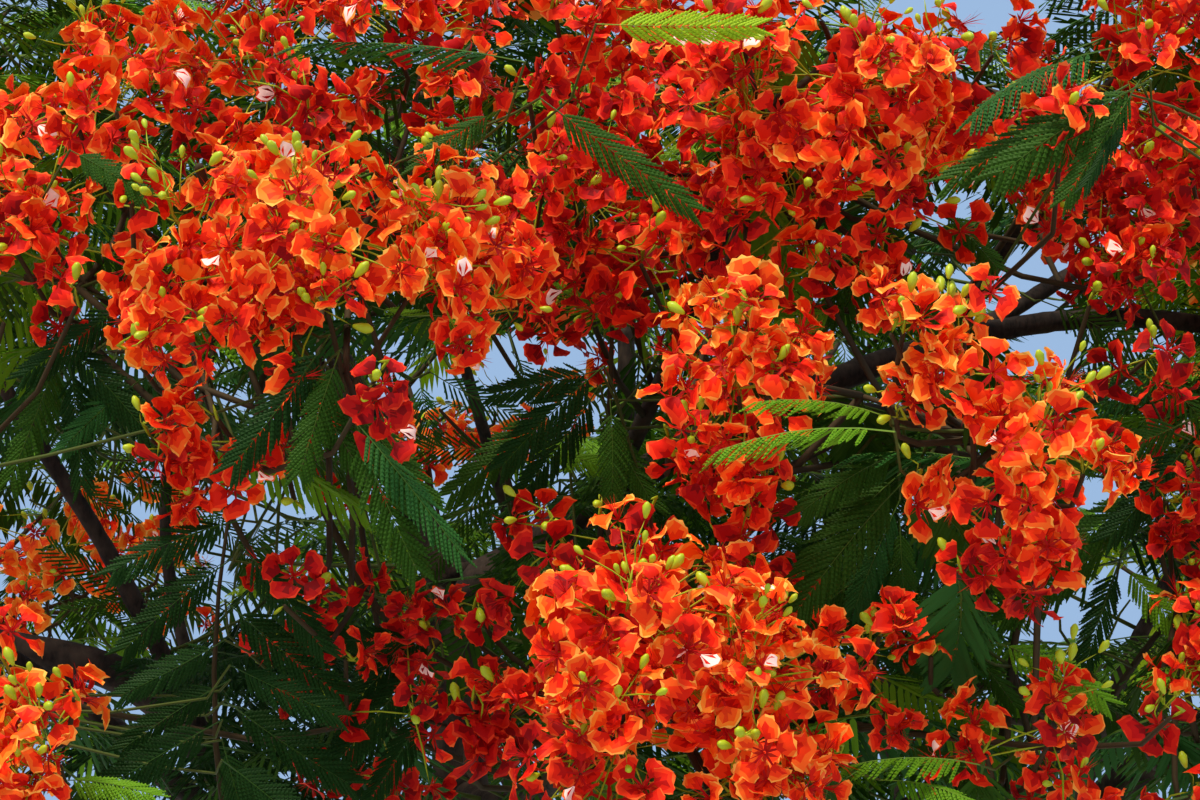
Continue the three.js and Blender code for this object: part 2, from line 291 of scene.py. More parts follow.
@dataclass(frozen=True)
class BarkFinish:
    """Smooth grey-brown bark of the flame tree: cork with fine upright cracks and pale lenticels."""

    name: str
    furrow: str
    cork: str
    pale: str
    crack: float = 14 * MM
    patch: float = 90 * MM
    roughness: float = 0.86
    shine: float = 0.3
    stretch: float = 0.28
    relief: float = 2.5 * MM

    def material(self) -> Material:
        """Makes the material, with cracks about a crack's width apart and pale patches."""
        made = bpy.data.materials.new(self.name)
        made.use_nodes = True
        tree = made.node_tree
        shader = tree.nodes["Principled BSDF"]
        place = add_node(tree, "ShaderNodeTexCoord").outputs["Object"]
        upright = add_node(tree, "ShaderNodeMapping", Vector=place, Scale=(1.0, 1.0, self.stretch))
        cracks = add_node(
            tree, "ShaderNodeTexNoise", Vector=upright.outputs[0], Scale=1 / self.crack, Detail=5.0,
            Roughness=0.62,
        ).outputs["Fac"]
        patches = add_node(
            tree, "ShaderNodeTexNoise", Vector=place, Scale=1 / self.patch, Detail=3.0
        ).outputs["Fac"]
        ramp = add_node(tree, "ShaderNodeValToRGB", Fac=cracks)
        for stop, level, colour in zip(ramp.color_ramp.elements, (0.36, 0.62), (self.furrow, self.cork)):
            stop.position = level
            stop.color = linear(colour)
        weather = add_node(tree, "ShaderNodeMapRange", {1: 0.45, 2: 0.75, 4: 0.75}, Value=patches)
        blend = add_node(tree, "ShaderNodeMix", {"data_type": "RGBA"})
        tree.links.new(weather.outputs[0], blend.inputs[0])
        tree.links.new(ramp.outputs[0], blend.inputs[6])
        blend.inputs[7].default_value = linear(self.pale)
        tree.links.new(blend.outputs[2], shader.inputs["Base Color"])
        shader.inputs["Roughness"].default_value = self.roughness
        shader.inputs["Specular IOR Level"].default_value = self.shine
        bump = add_node(tree, "ShaderNodeBump", Height=cracks, Strength=0.7, Distance=self.relief)
        tree.links.new(bump.outputs[0], shader.inputs["Normal"])
        return made


class Draft:
    """Vertices and faces gathered for one mesh, each face with its zone, each vertex with its softness."""

    def __init__(self) -> None:
        """Starts an empty draft."""
        self.places: list[Rows] = []
        self.faces: list[tuple[int, ...]] = []
        self.zones: list[int] = []
        self.soft: list[Rows] = []
        self.count = 0

    def add(self, places: Rows, faces: Sequence[Sequence[int]], zone: int | Sequence[int] = 0,
            soft: Rows | None = None) -> None:
        """Adds a patch of surface.

        Args:
            places: Rows of places.
            faces: Corner numbers into those rows.
            zone: The number of the patch's finish, or one for each face.
            soft: How far each place may be ruffled, from 0 to 1.
        """
        start = self.count
        self.places.append(np.asarray(places, float))
        self.soft.append(np.zeros(len(places)) if soft is None else soft)
        self.faces += [tuple(start + corner for corner in face) for face in faces]
        self.zones += [zone] * len(faces) if isinstance(zone, int) else list(zone)
        self.count += len(places)

    def mesh(self, name: str, smooth: bool = True) -> Mesh:
        """Makes the mesh.

        Args:
            name: The mesh's name.
            smooth: Whether its faces are shaded smooth.

        Returns:
            The mesh, with the zones as a face attribute and the softness on its points.
        """
        made = bpy.data.meshes.new(name)
        made.from_pydata(np.concatenate(self.places).tolist(), [], self.faces)
        made.attributes.new("zone", "INT", "FACE").data.foreach_set("value", self.zones)
        made.attributes.new("soft", "FLOAT", "POINT").data.foreach_set("value", np.concatenate(self.soft))
        if smooth:
            made.shade_smooth()
        return made


def circle(sides: int) -> Rows:
    """Gives the angles of evenly spaced points about a circle."""
    return np.arange(sides) * 2 * math.pi / sides


def ring_faces(rows: int, sides: int) -> list[tuple[int, ...]]:
    """Lists the quads between rings of points."""
    return [(r + c, r + (c + 1) % sides, r + sides + (c + 1) % sides, r + sides + c)
            for r in range(0, (rows - 1) * sides, sides) for c in range(sides)]


class Spline:
    """A centripetal Catmull-Rom curve, read by share of its length."""

    STEPS = 200

    def __init__(self, points: Sequence[Sequence[float]]) -> None:
        """Takes the points that the curve passes.

        Args:
            points: The points, in order.
        """
        self.points = np.array(points, float)
        self.table = np.array([self.point(i / self.STEPS) for i in range(self.STEPS + 1)])
        gaps = np.linalg.norm(np.diff(self.table, axis=0), axis=1)
        self.travel = np.concatenate(([0.0], np.cumsum(gaps)))
        self.length = self.travel[-1]

    def point(self, t: float) -> Rows:
        """Finds the curve's point at a share of its spans.

        Args:
            t: The share, from 0 to 1.

        Returns:
            The point.
        """
        points, last = self.points, len(self.points) - 1
        i = min(int(last * t), last - 1)
        weight = last * t - i
        before = points[i - 1] if i > 0 else 2 * points[0] - points[1]
        after = points[i + 2] if i + 2 <= last else 2 * points[last] - points[last - 1]
        p = (before, points[i], points[i + 1], after)
        d = [max(float(np.sum((p[k + 1] - p[k]) ** 2)) ** 0.25, 1e-4) for k in range(3)]
        t1 = ((p[1] - p[0]) / d[0] - (p[2] - p[0]) / (d[0] + d[1]) + (p[2] - p[1]) / d[1]) * d[1]
        t2 = ((p[2] - p[1]) / d[1] - (p[3] - p[1]) / (d[1] + d[2]) + (p[3] - p[2]) / d[2]) * d[1]
        square = -3 * p[1] + 3 * p[2] - 2 * t1 - t2
        cube = 2 * p[1] - 2 * p[2] + t1 + t2
        return p[1] + t1 * weight + square * weight**2 + cube * weight**3

    def at(self, shares: Iterable[float]) -> Rows:
        """Finds rows of points at shares of the length, from 0 to 1."""
        wanted = np.asarray(list(shares)) * self.length
        return np.stack([np.interp(wanted, self.travel, self.table[:, k]) for k in range(3)], axis=1)


def frames_along(points: Rows) -> tuple[Rows, Rows, Rows]:
    """Carries a frame along a row of points without twist.

    Args:
        points: Rows of points.

    Returns:
        Rows of tangents, and of two directions across them.
    """
    tangents = unit(np.gradient(points, axis=0))
    helper = UP if abs(tangents[0][2]) < 0.9 else np.array((0.0, 1.0, 0.0))
    across = [unit(np.cross(tangents[0], np.cross(helper, tangents[0])))]
    for tangent in tangents[1:]:
        across.append(unit(across[-1] - tangent * (across[-1] @ tangent)))
    across = np.array(across)
    return tangents, across, np.cross(tangents, across)


def add_tube(draft: Draft, points: Rows, radii: Rows, sides: int, zone: int = 0) -> None:
    """Adds a tube that is closed to a point at both ends.

    Args:
        draft: The draft that takes it.
        points: The points along its middle.
        radii: The radius at each.
        sides: How many sides it has.
        zone: The number of its finish.
    """
    tangents, across, other = frames_along(points)
    angles = circle(sides)
    ring = np.cos(angles)[None, :, None] * across[:, None] + np.sin(angles)[None, :, None] * other[:, None]
    skin = points[:, None] + ring * np.asarray(radii)[:, None, None]
    rows = len(points)
    places = np.concatenate((skin.reshape(-1, 3), points[:1], points[-1:] + tangents[-1:] * radii[-1]))
    faces = ring_faces(rows, sides)
    faces += [(rows * sides, (k + 1) % sides, k) for k in range(sides)]
    top = (rows - 1) * sides
    faces += [(rows * sides + 1, top + k, top + (k + 1) % sides) for k in range(sides)]
    draft.add(places, faces, zone)


class Draws:
    """The solids' own seeded row of numbers, in 32-bit steps, so that both grow the same twigs."""

    MASK = 0xFFFFFFFF

    def __init__(self, seed: int) -> None:
        """Starts the row from a whole number."""
        self.state = (seed * 0x9E3779B1) & self.MASK

    def __call__(self) -> float:
        """Gives the next number, from 0 to 1."""
        self.state = (self.state + 0x6D2B79F5) & self.MASK
        mixed = ((self.state ^ (self.state >> 15)) * (self.state | 1)) & self.MASK
        mixed ^= (mixed + (mixed ^ (mixed >> 7)) * (mixed | 61)) & self.MASK
        return (mixed ^ (mixed >> 14)) / 4294967296


@dataclass
class Limb:
    """A tapering limb. It leaves its parent's axis and ends in a fork, or a stem's length from its mass."""

    name: str
    parent: str
    share: float
    radii: Pair
    via: list[Triple]
    centre: Triple | None = None
    fork: Triple | None = None
    curve: Spline | None = None


@dataclass
class Skeleton:
    """The trunk and limbs, with the sizes of the solids, in millimetres until they are built."""

    trunk_top: float = 1900.0
    lean: Pair = (30.0, -60.0)
    radius: float = 150.0
    taper: float = 22.0
    flare: float = 118.0
    flare_height: float = 230.0
    lobes: int = 5
    lobe_share: float = 0.34
    crotch: float = 0.9
    stem: float = 330.0
    limb_taper: float = 0.85
    rim: Pair = (2500.0, 3520.0)
    shoulder: Pair = (1780.0, 4330.0)
    upper: Pair = (960.0, 4830.0)
    limbs: dict[str, Limb] = field(default_factory=dict)

    def crown(self, turn: float, ring: Pair) -> Triple:
        """Finds the place at some degrees about the trunk, and at a distance out and a height."""
        angle = math.radians(turn)
        return (ring[0] * math.cos(angle), ring[0] * math.sin(angle), ring[1])

    def plan(self) -> list[Limb]:
        """Lists the limbs."""
        crown = self.crown
        listed = [Limb(*row) for row in (
            ("bough_front", "trunk", 0.93, (80, 47), [(-130, -420, 2560), (-262, -870, 3340)], None,
             (-287, -1030, 3770)),
            ("bough_left", "trunk", 0.86, (70, 24),
             [(-330, -300, 2530), (-850, -740, 3560), (-1230, -800, 3680)], (-2340, -980, 3720)),
            ("bough_right", "trunk", 0.8, (72, 24),
             [(400, -190, 2450), (1060, -500, 3480), (1400, -600, 3640)], (2350, -900, 3760)),
            ("leader", "trunk", 0.96, (62, 20), [(20, 30, 2900), (60, 120, 3900)], (60, 190, 5040)),
            ("limb_front_left", "bough_front", 0.985, (34, 15), [(-395, -1130, 3930), (-500, -1450, 4070)],
             (-650, -2300, 4040)),
            ("limb_front_right", "bough_front", 0.965, (37, 17),
             [(170, -1160, 3960), (650, -1090, 4190), (1000, -1010, 4280)], (1720, -1080, 4170)),
            ("limb_front_low", "bough_front", 0.8, (24, 14), [(-120, -1330, 3230)], (80, -2230, 3210)),
            ("limb_near_right", "limb_front_right", 0.42, (19, 12), [(520, -1500, 3900)],
             (650, -2320, 3580)),
            ("limb_near_top", "limb_front_right", 0.2, (19, 12), [(150, -1500, 4060)], (300, -2160, 4230)),
            ("limb_fork_up", "limb_front_right", 0.58, (20, 12), [(790, -1190, 4370)], (870, -1760, 4400)),
            ("limb_fork_out", "limb_front_right", 0.62, (20, 12), [(1010, -860, 4470)], (1270, -420, 4740)),
            ("limb_left_up", "bough_left", 0.47, (27, 14), [(-960, -900, 3830), (-1110, -1010, 4050)],
             (-1440, -1240, 4560)),
            ("limb_left_low", "bough_left", 0.55, (26, 14), [(-1180, -1180, 3580)],
             crown(228, (2420, 3420))),
            ("limb_right_low", "bough_right", 0.5, (22, 13), [(960, -890, 3430)], (900, -1450, 3380)),
            ("limb_right_rim", "bough_right", 0.64, (24, 14), [(1420, -1090, 3620)],
             crown(312, (2480, 3500))),
            ("limb_right_up", "bough_right", 0.56, (24, 14), [(1210, -150, 3980)], crown(10, (1560, 4500))),
            ("limb_top_front", "leader", 0.5, (22, 12), [(-180, -240, 4060)], (-430, -870, 4790)),
        )]
        for turn in (30, 90, 150):
            bough = f"bough_back_{turn}"
            way = [crown(turn, (330, 2500)), crown(turn, (980, 3560))]
            foot = 0.84 + (turn % 60) / 600
            listed.append(Limb(bough, "trunk", foot, (66, 22), way, crown(turn, self.shoulder)))
            for side in (-1, 1):
                out = turn + side * 15
                listed.append(Limb(f"limb_back_{out}", bough, 0.5 - 0.06 * side, (27, 14),
                                   [crown(out, (1560, 3560))], crown(out, self.rim)))
            listed.append(Limb(f"limb_upper_{turn + 30}", bough, 0.66, (22, 12),
                               [crown(turn + 21, (980, 4130))], crown(turn + 30, self.upper)))
        return listed

    def build(self) -> None:
        """Gives the trunk and each limb their curves, in metres."""
        x, y = self.lean
        top = self.trunk_top
        spine = [(0, 0, 0), (0, 0, top * 0.25), (x * 0.5, y * 0.5, top * 0.62), (x, y, top)]
        self.limbs["trunk"] = Limb("trunk", "", 0.0, (self.radius * MM, (self.radius - self.taper) * MM), [])
        self.limbs["trunk"].curve = Spline(np.array(spine) * MM)
        for limb in self.plan():
            start = self.limbs[limb.parent].curve.at([limb.share])[0]
            via = [np.array(point) * MM for point in limb.via]
            if limb.centre is None:
                tip = np.array(limb.fork) * MM
            else:
                limb.centre = tuple(np.array(limb.centre) * MM)
                tip = limb.centre - unit(limb.centre - via[-1]) * self.stem * MM
            limb.radii = (limb.radii[0] * MM, limb.radii[1] * MM)
            limb.curve = Spline([start, *via, tip])
            self.limbs[limb.name] = limb

    def carriers(self) -> list[Limb]:
        """Lists the limbs that carry a mass."""
        return [limb for limb in self.limbs.values() if limb.centre is not None]

    def beads(self) -> tuple[Rows, Rows]:
        """Gives points along every limb, and the radius at each."""
        places, radii = [], []
        for limb in self.limbs.values():
            count = math.ceil(limb.curve.length / 0.03)
            shares = np.linspace(0, 1, count + 1)
            places.append(limb.curve.at(shares))
            foot, end = limb.radii
            radii.append(foot + (end - foot) * shares**self.limb_taper)
        return np.concatenate(places), np.concatenate(radii)


@dataclass
class Bark:
    """The bark of trunk and limbs: tubes with a waved, cracked skin and a swollen collar at each foot."""

    skeleton: Skeleton
    ring_gap: float = 14 * MM
    limb_gap: float = 18.2 * MM
    wave: float = 0.05
    crack_depth: float = 1.6 * MM
    fineness: float = 55.0
    collar: float = 0.45
    thick: float = 0.04
    trunk_sides: int = 80
    thick_sides: int = 26
    thin_sides: int = 14

    def relief(self, place: Rows, radius: float) -> float:
        """Gives the height of the bark over a place on a smooth limb of a radius, in metres."""
        broad = radius * self.wave * noise.noise(Vector(place) * (0.35 / max(radius, 0.02)))
        return broad + self.crack_depth * (noise.turbulence(
            Vector((place[0], place[1], place[2] * 0.3)) * self.fineness, 3, False) - 0.6)

    def trunk_radius(self, share: float, angle: Rows) -> Rows:
        """Gives the trunk's radius with its root flare and its narrowing at the fork.

        Args:
            share: The share of the trunk's length.
            angle: Angles about the axis, from -Y.

        Returns:
            The radius at each angle, in metres.
        """
        tree = self.skeleton
        foot = math.exp(-share * tree.trunk_top / tree.flare_height)
        lobes = 1 + tree.lobe_share * np.cos(tree.lobes * angle)
        past = max(0.0, (share - tree.crotch) / (1 - tree.crotch))
        narrow = math.sqrt(1 - past**2 * 0.6)
        return (tree.radius - tree.taper * share + tree.flare * foot * lobes) * narrow * MM

    def ring(self, centre: Rows, out: Rows, radius: Rows | float, size: float) -> Rows:
        """Gives one ring of bark.

        Args:
            centre: Its middle.
            out: Rows of directions out of it.
            radius: The smooth radius, as one number or one for each direction.
            size: About how thick the limb is there.

        Returns:
            Rows of places.
        """
        smooth = centre + out * radius
        rise = np.array([self.relief(place, size) for place in smooth])
        return smooth + out * np.maximum(rise, -0.3 * size)[:, None]

    def trunk(self, finish: Material) -> None:
        """Builds the trunk.

        Args:
            finish: Its bark.
        """
        tree = self.skeleton
        curve = tree.limbs["trunk"].curve
        shares = np.linspace(0, 1, int(curve.length / self.ring_gap))
        angles = circle(self.trunk_sides)
        out = np.stack((-np.sin(angles), -np.cos(angles), np.zeros(len(angles))), axis=1)
        skin = [
            self.ring(centre, out, self.trunk_radius(share, angles)[:, None], tree.radius * MM)
            for share, centre in zip(shares, curve.at(shares))
        ]
        skin[0][:, 2] = 0.0
        draft = Draft()
        draft.add(np.concatenate(skin), [face[::-1] for face in self.skin_faces(skin)])
        place_piece(draft.mesh("trunk_bark"), "bark", ["trunk"], finish)

    def skin_faces(self, skin: list[Rows]) -> list[tuple[int, ...]]:
        """Lists the faces between rings of bark, with one flat face at either end."""
        last, sides = len(skin) - 1, len(skin[0])
        return [*ring_faces(last + 1, sides), tuple(range(sides))[::-1],
                tuple(range(last * sides, last * sides + sides))]

    def limb_tube(self, draft: Draft, limb: Limb) -> None:
        """Adds one limb.

        Args:
            draft: The draft that takes it.
            limb: The limb.
        """
        foot, end = limb.radii
        shares = np.linspace(0, 1, max(8, int(limb.curve.length / self.limb_gap)))
        middle = limb.curve.at(shares)
        _, across, other = frames_along(middle)
        parent = self.skeleton.limbs[limb.parent].radii
        out = np.maximum(shares * limb.curve.length - (parent[0] + parent[1]) / 2, 0.0)
        swell = 1 + self.collar * np.exp(-out / (1.5 * foot))
        radii = (foot + (end - foot) * shares**self.skeleton.limb_taper) * swell
        angles = circle(self.thick_sides if foot > self.thick else self.thin_sides)[:, None]
        skin = [
            self.ring(centre, np.cos(angles) * side + np.sin(angles) * top, radius, radius)
            for centre, side, top, radius in zip(middle, across, other, radii)
        ]
        draft.add(np.concatenate(skin), self.skin_faces(skin))

    def limbs(self, big: bool, finish: Material) -> None:
        """Builds the main boughs, or the limbs that leave them, as one piece.

        Args:
            big: Whether these are the main boughs.
            finish: Their bark.
        """
        chosen = [limb for name, limb in self.skeleton.limbs.items()
                  if name != "trunk" and (limb.radii[0] > self.thick) == big]
        draft = Draft()
        for limb in chosen:
            self.limb_tube(draft, limb)
        name = "bough_bark" if big else "limb_bark"
        place_piece(draft.mesh(name), "bough_bark", [limb.name for limb in chosen], finish)

    def build(self) -> None:
        """Builds the three pieces, each with its finish."""
        # Bark: thin cork, grey-brown and shallowly furrowed on the old trunk, dull, with pale pores; on the
        # boughs it is smoother and browner, and darker as painted shade for the crown's shadow.
        trunk_finish = BarkFinish("bark_trunk_cork", "#2f2620", "#615348", "#85786a")
        shaded_bough_finish = BarkFinish("bark_bough_cork", "#1a130f", "#352a22", "#58493c", 9 * MM, 60 * MM)
        self.trunk(trunk_finish.material())
        self.limbs(True, shaded_bough_finish.material())
        self.limbs(False, shaded_bough_finish.material())


def place_piece(mesh: Mesh, slot: str, nodes: Sequence[str], *finishes: Material) -> None:
    """Puts a finished mesh in the scene as a piece of the tree.

    Args:
        mesh: The mesh, whose name the piece takes.
        slot: The record's slot; not used.
        nodes: The solids that it replaces.
        *finishes: Its materials, where the mesh has none yet.
    """
    for finish in finishes:
        mesh.materials.append(finish)
    piece = bpy.data.objects.new(mesh.name, mesh)
    bpy.context.scene.collection.objects.link(piece)
    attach(piece, "root")
    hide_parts(*nodes)
    mesh.calc_loop_triangles()
    LOG.info("%s: %d triangles", mesh.name, len(mesh.loop_triangles))


@dataclass
class Scatter:
    """What repeats: copies of a few small meshes, set on points by Geometry Nodes and joined."""

    name: str
    variants: list[Mesh]
    finishes: list[Material]
    ruffle: float = 0.0
    grain: float = 20 * MM
    seed: int = 4
    copies: list[tuple[Rows, ...]] = field(default_factory=list)

    ATTRIBUTES = {
        "kind": "INT", "turn": "FLOAT_VECTOR", "size": "FLOAT_VECTOR", "soft": "FLOAT", "zone": "INT"
    }

    def add(self, places: Rows, turns: Rows, sizes: Rows, kinds: Rows) -> None:
        """Adds copies.

        Args:
            places: Where each stands.
            turns: Its Euler turn.
            sizes: Its scale, as one number or three.
            kinds: The number of its variant.
        """
        sizes = np.asarray(sizes, float)
        if sizes.ndim == 1:
            sizes = np.repeat(sizes[:, None], 3, axis=1)
        self.copies.append((np.asarray(places, float), np.asarray(turns, float), sizes,
                            np.asarray(kinds, int) % len(self.variants)))

    def tree(self) -> NodeTree:
        """Builds the node tree, with named inputs for the sprays, their ruffle and its grain and seed."""
        group = bpy.data.node_groups.new(f"scatter_{self.name}", "GeometryNodeTree")
        ends = {"Geometry": "Geometry", "Sprays": "Collection", "Ruffle": "Float", "Grain": "Float",
                "Seed": "Int"}
        for label, form in ends.items():
            group.interface.new_socket(label, in_out="INPUT", socket_type=f"NodeSocket{form}")
        group.interface.new_socket("Geometry", in_out="OUTPUT", socket_type="NodeSocketGeometry")
        entry = add_node(group, "NodeGroupInput").outputs
        kind, turn, size, soft, zone = [
            add_node(group, "GeometryNodeInputNamedAttribute", {"data_type": form}, Name=label).outputs[0]
            for label, form in self.ATTRIBUTES.items()
        ]
        sprays = add_node(
            group, "GeometryNodeCollectionInfo", Collection=entry["Sprays"], Separate_Children=True,
            Reset_Children=True,
        ).outputs[0]
        turned = add_node(group, "FunctionNodeEulerToRotation", {0: turn})
        placed = add_node(
            group, "GeometryNodeInstanceOnPoints", Points=entry["Geometry"], Instance=sprays,
            Pick_Instance=True, Instance_Index=kind, Rotation=turned.outputs[0], Scale=size,
        )
        real = add_node(group, "GeometryNodeRealizeInstances", Geometry=placed.outputs[0])
        fineness = add_node(group, "ShaderNodeMath", {"operation": "DIVIDE", 0: 1.0, 1: entry["Grain"]})
        crinkle = add_node(
            group, "ShaderNodeTexNoise", {"noise_dimensions": "4D"}, W=entry["Seed"],
            Scale=fineness.outputs[0], Detail=1.0,
        ).outputs["Color"]
        centred = add_node(
            group, "ShaderNodeVectorMath", {"operation": "SUBTRACT", 0: crinkle, 1: (0.5, 0.5, 0.5)}
        ).outputs[0]
        reach = add_node(group, "ShaderNodeMath", {"operation": "MULTIPLY", 0: soft, 1: entry["Ruffle"]})
        offset = add_node(
            group, "ShaderNodeVectorMath", {"operation": "SCALE", 0: centred}, Scale=reach.outputs[0]
        ).outputs[0]
        made = add_node(group, "GeometryNodeSetPosition", Geometry=real.outputs[0], Offset=offset).outputs[0]
        for number, finish in enumerate(self.finishes):
            chosen = add_node(
                group, "FunctionNodeCompare", {"data_type": "INT", "operation": "EQUAL", 2: zone, 3: number}
            ).outputs[0]
            dressed = add_node(group, "GeometryNodeSetMaterial", Geometry=made, Selection=chosen)
            dressed.inputs["Material"].default_value = finish
            made = dressed.outputs[0]
        add_node(group, "NodeGroupOutput", Geometry=made)
        return group

    def build(self, nodes: Sequence[str]) -> None:
        """Makes the piece, if there are any copies.

        Args:
            nodes: The solids that it replaces.
        """
        if not any(len(copy[0]) for copy in self.copies):
            return
        scene = bpy.context.scene
        sprays = bpy.data.collections.new(f"sprays_{self.name}")
        scene.collection.children.link(sprays)
        for number, mesh in enumerate(self.variants):
            sprays.objects.link(bpy.data.objects.new(f"{self.name}_{number:02d}", mesh))
        places, turns, sizes, kinds = (np.concatenate(column) for column in zip(*self.copies))
        points = bpy.data.meshes.new("points")
        points.from_pydata(places.tolist(), [], [])
        for label, rows in {"turn": turns, "size": sizes, "kind": kinds}.items():
            layer = points.attributes.new(label, self.ATTRIBUTES[label], "POINT")
            layer.data.foreach_set("value" if rows.ndim == 1 else "vector", rows.ravel())
        holder = bpy.data.objects.new("holder", points)
        scene.collection.objects.link(holder)
        modifier = holder.modifiers.new("scatter", "NODES")
        modifier.node_group = self.tree()
        values = {"Sprays": sprays, "Ruffle": self.ruffle, "Grain": self.grain, "Seed": self.seed}
        for item in modifier.node_group.interface.items_tree:
            if item.in_out == "INPUT" and item.name in values:
                modifier[item.identifier] = values[item.name]
        ready = bpy.context.evaluated_depsgraph_get()
        mesh = bpy.data.meshes.new_from_object(holder.evaluated_get(ready), depsgraph=ready)
        holder.modifiers.remove(modifier)
        for spent in (holder, *sprays.objects):
            bpy.data.objects.remove(spent)
        bpy.data.collections.remove(sprays)
        for label in self.ATTRIBUTES:
            if label in mesh.attributes:
                mesh.attributes.remove(mesh.attributes[label])
        mesh.name = f"{self.name}_1"
        place_piece(mesh, "foliage", nodes)


@dataclass(frozen=True)
class Flower:
    """A flame tree's flower: fan-shaped petals on narrow claws, with sepals and stamens in the middle."""

    claw: float = 25 * MM
    blade: float = 36 * MM
    half_width: float = 25 * MM
    sepal: float = 25 * MM
    stamen: float = 46 * MM
    wave: float = 4 * MM
    frill: float = 3.2 * MM
    fan: float = math.radians(112)
    plain: int = 10
    patched: int = 3

    CLAW, HEART, BLADE, EDGE, RIM, PATCH, SEPAL, STAMEN = range(8)
    CLOSE_ROWS = ((0.4, 0.1, 7), (0.7, 0.08, 7), (0.92, 0.03, 7), (1.0, 0.05, 13))
    FAR_ROWS = ((0.6, 0.0, 3), (1.0, 0.0, 5))
    STREAKS, LAST_PALE = (1, 5, 8, 11), 18
    PETALS = 5
    MIDDLES = 3

    def petal(self, name: str, detail: Detail, curl: float, patched: bool, chance: random.Random) -> Mesh:
        """Makes one petal along X that faces Z: a narrow claw, then a round blade with a frilled rim.

        Args:
            name: The mesh's name.
            detail: How finely it is drawn.
            curl: How far its blade bends back, in radians.
            patched: Whether it is the narrower upright petal with the pale patch.
            chance: The source of its crinkles.

        Returns:
            The mesh, whose colours meet in jagged, vein-like streaks.
        """
        close = detail is Detail.CLOSE
        start = self.claw if close else 6 * MM
        length = self.blade + self.claw - start
        half = self.half_width * chance.uniform(0.9, 1.1) * (0.64 if patched else 1.0)
        twist = chance.uniform(-0.5, 0.5)
        side = np.array((0.0, math.cos(twist), math.sin(twist)))
        phase, waves = chance.uniform(0, 6.3), chance.uniform(1.2, 2.6)
        roll = chance.uniform(-7, 9) * MM
        grip = np.array((0.0, 1.9 * MM, 0.0)) if close else np.zeros(3)
        foot = np.array((start, 0.0, 0.0))
        places, soft = [foot - grip, foot + grip], [0.0, 0.0]
        for share, jag, count in self.CLOSE_ROWS if close else self.FAR_ROWS:
            for k, a in enumerate(np.linspace(-1, 1, count)):
                out = share + jag * (-1) ** k * chance.uniform(0.4, 1.3)
                out += 0.03 * share * chance.uniform(-1, 1)
                along = length * out * (0.56 + 0.44 * math.cos(self.fan * a))
                bend = curl * along / length
                lift = self.wave * math.sin(math.pi * waves * a + phase) + roll * a * a
                lift = lift * out**2 + self.frill * share**4 * chance.uniform(-1, 1)
                places.append(foot + (along * math.cos(bend), 0.0, lift - along * math.sin(bend))
                              + side * half * out * math.sin(self.fan * a))
                soft.append(out)
        draft = Draft()
        if close:
            places += [grip * 1.3 * way + (2.5 * MM, 0.0, 0.0) for way in (-1, 1)]
            soft += [0.0, 0.0]
            faces = [(0, 2, 3), (0, 3, 4), (0, 4, 5), (0, 5, 1), (1, 5, 6), (1, 6, 7), (1, 7, 8)]
            faces += [(k, k + 7, k + 8, k + 1) for row in (2, 9) for k in range(row, row + 6)]
            faces += [(16 + k, 23 + 2 * k, 24 + 2 * k, 25 + 2 * k, 17 + k) for k in range(6)]
            faces.append((36, 0, 1, 37))
            bands = (7, self.HEART, self.HEART), (6, self.BLADE, self.HEART), (6, self.EDGE, self.BLADE)
            zones = [rare if chance.random() < 0.25 else common
                     for count, common, rare in (*bands, (6, self.RIM, self.EDGE)) for _ in range(count)]
            if patched:
                zones = [zone if k in self.STREAKS or k > self.LAST_PALE else self.PATCH
                         for k, zone in enumerate(zones)]
            zones.append(self.CLAW)
        else:
            faces = [(0, 2, 3), (0, 3, 4), (2, 5, 6, 7, 3), (3, 7, 8, 9, 4)]
            zones = [self.PATCH if patched else self.BLADE] * 2 + [self.EDGE, self.RIM]
        draft.add(places, faces, zones, np.array(soft))
        return draft.mesh(name)

    def petals(self, detail: Detail, seed: int) -> list[Mesh]:
        """Makes petals that bend differently, by a seed; the last ones have the pale patch."""
        chance = random.Random(seed)
        return [
            self.petal(f"petal_{k}", detail, chance.uniform(-0.2, 1.1), k >= self.plain, chance)
            for k in range(self.plain + self.patched)
        ]

    def centre(self, name: str, detail: Detail, chance: random.Random) -> Mesh:
        """Makes a flower's middle, facing Z: five narrow sepals, and stamens that curve up and outwards.

        Args:
            name: The mesh's name.
            detail: How finely it is drawn.
            chance: The source of its lean.

        Returns:
            The mesh.
        """
        close = detail is Detail.CLOSE
        draft = Draft()
        for k in range(self.PETALS):
            out = np.array((math.cos(k * 0.4 * math.pi), math.sin(k * 0.4 * math.pi), 0.0))
            wide = np.array((-out[1], out[0], 0.0)) * 4.0 * MM
            tip, middle = out * self.sepal - UP * 6 * MM, out * self.sepal * 0.45
            places = [out * 2 * MM, middle - wide, tip, middle + wide]
            draft.add(places if close else places[1:], [(0, 1, 2, 3) if close else (0, 1, 2)], self.SEPAL)
        count = 8 if close else 3
        for k in range(count):
            turn = k * 2 * math.pi / count + chance.uniform(-0.3, 0.3)
            out = np.array((math.cos(turn), math.sin(turn), 0.0))
            side = np.array((-out[1], out[0], 0.0)) * (0.7 if close else 1.8) * MM
            lean = chance.uniform(0.25, 0.75)
            middle = out * self.stamen * 0.4 * lean + UP * self.stamen * 0.6
            tip = out * self.stamen * lean + UP * self.stamen * chance.uniform(0.8, 1.0)
            places = [-side, side, middle + side, middle - side, tip] if close else [-side, side, tip]
            draft.add(places, [(0, 1, 2, 3), (3, 2, 4)] if close else [(0, 1, 2)], self.STAMEN)
        return draft.mesh(name)

    def centres(self, detail: Detail, seed: int) -> list[Mesh]:
        """Makes middles whose stamens lean differently, by a seed."""
        chance = random.Random(seed)
        return [self.centre(f"centre_{k}", detail, chance) for k in range(self.MIDDLES)]

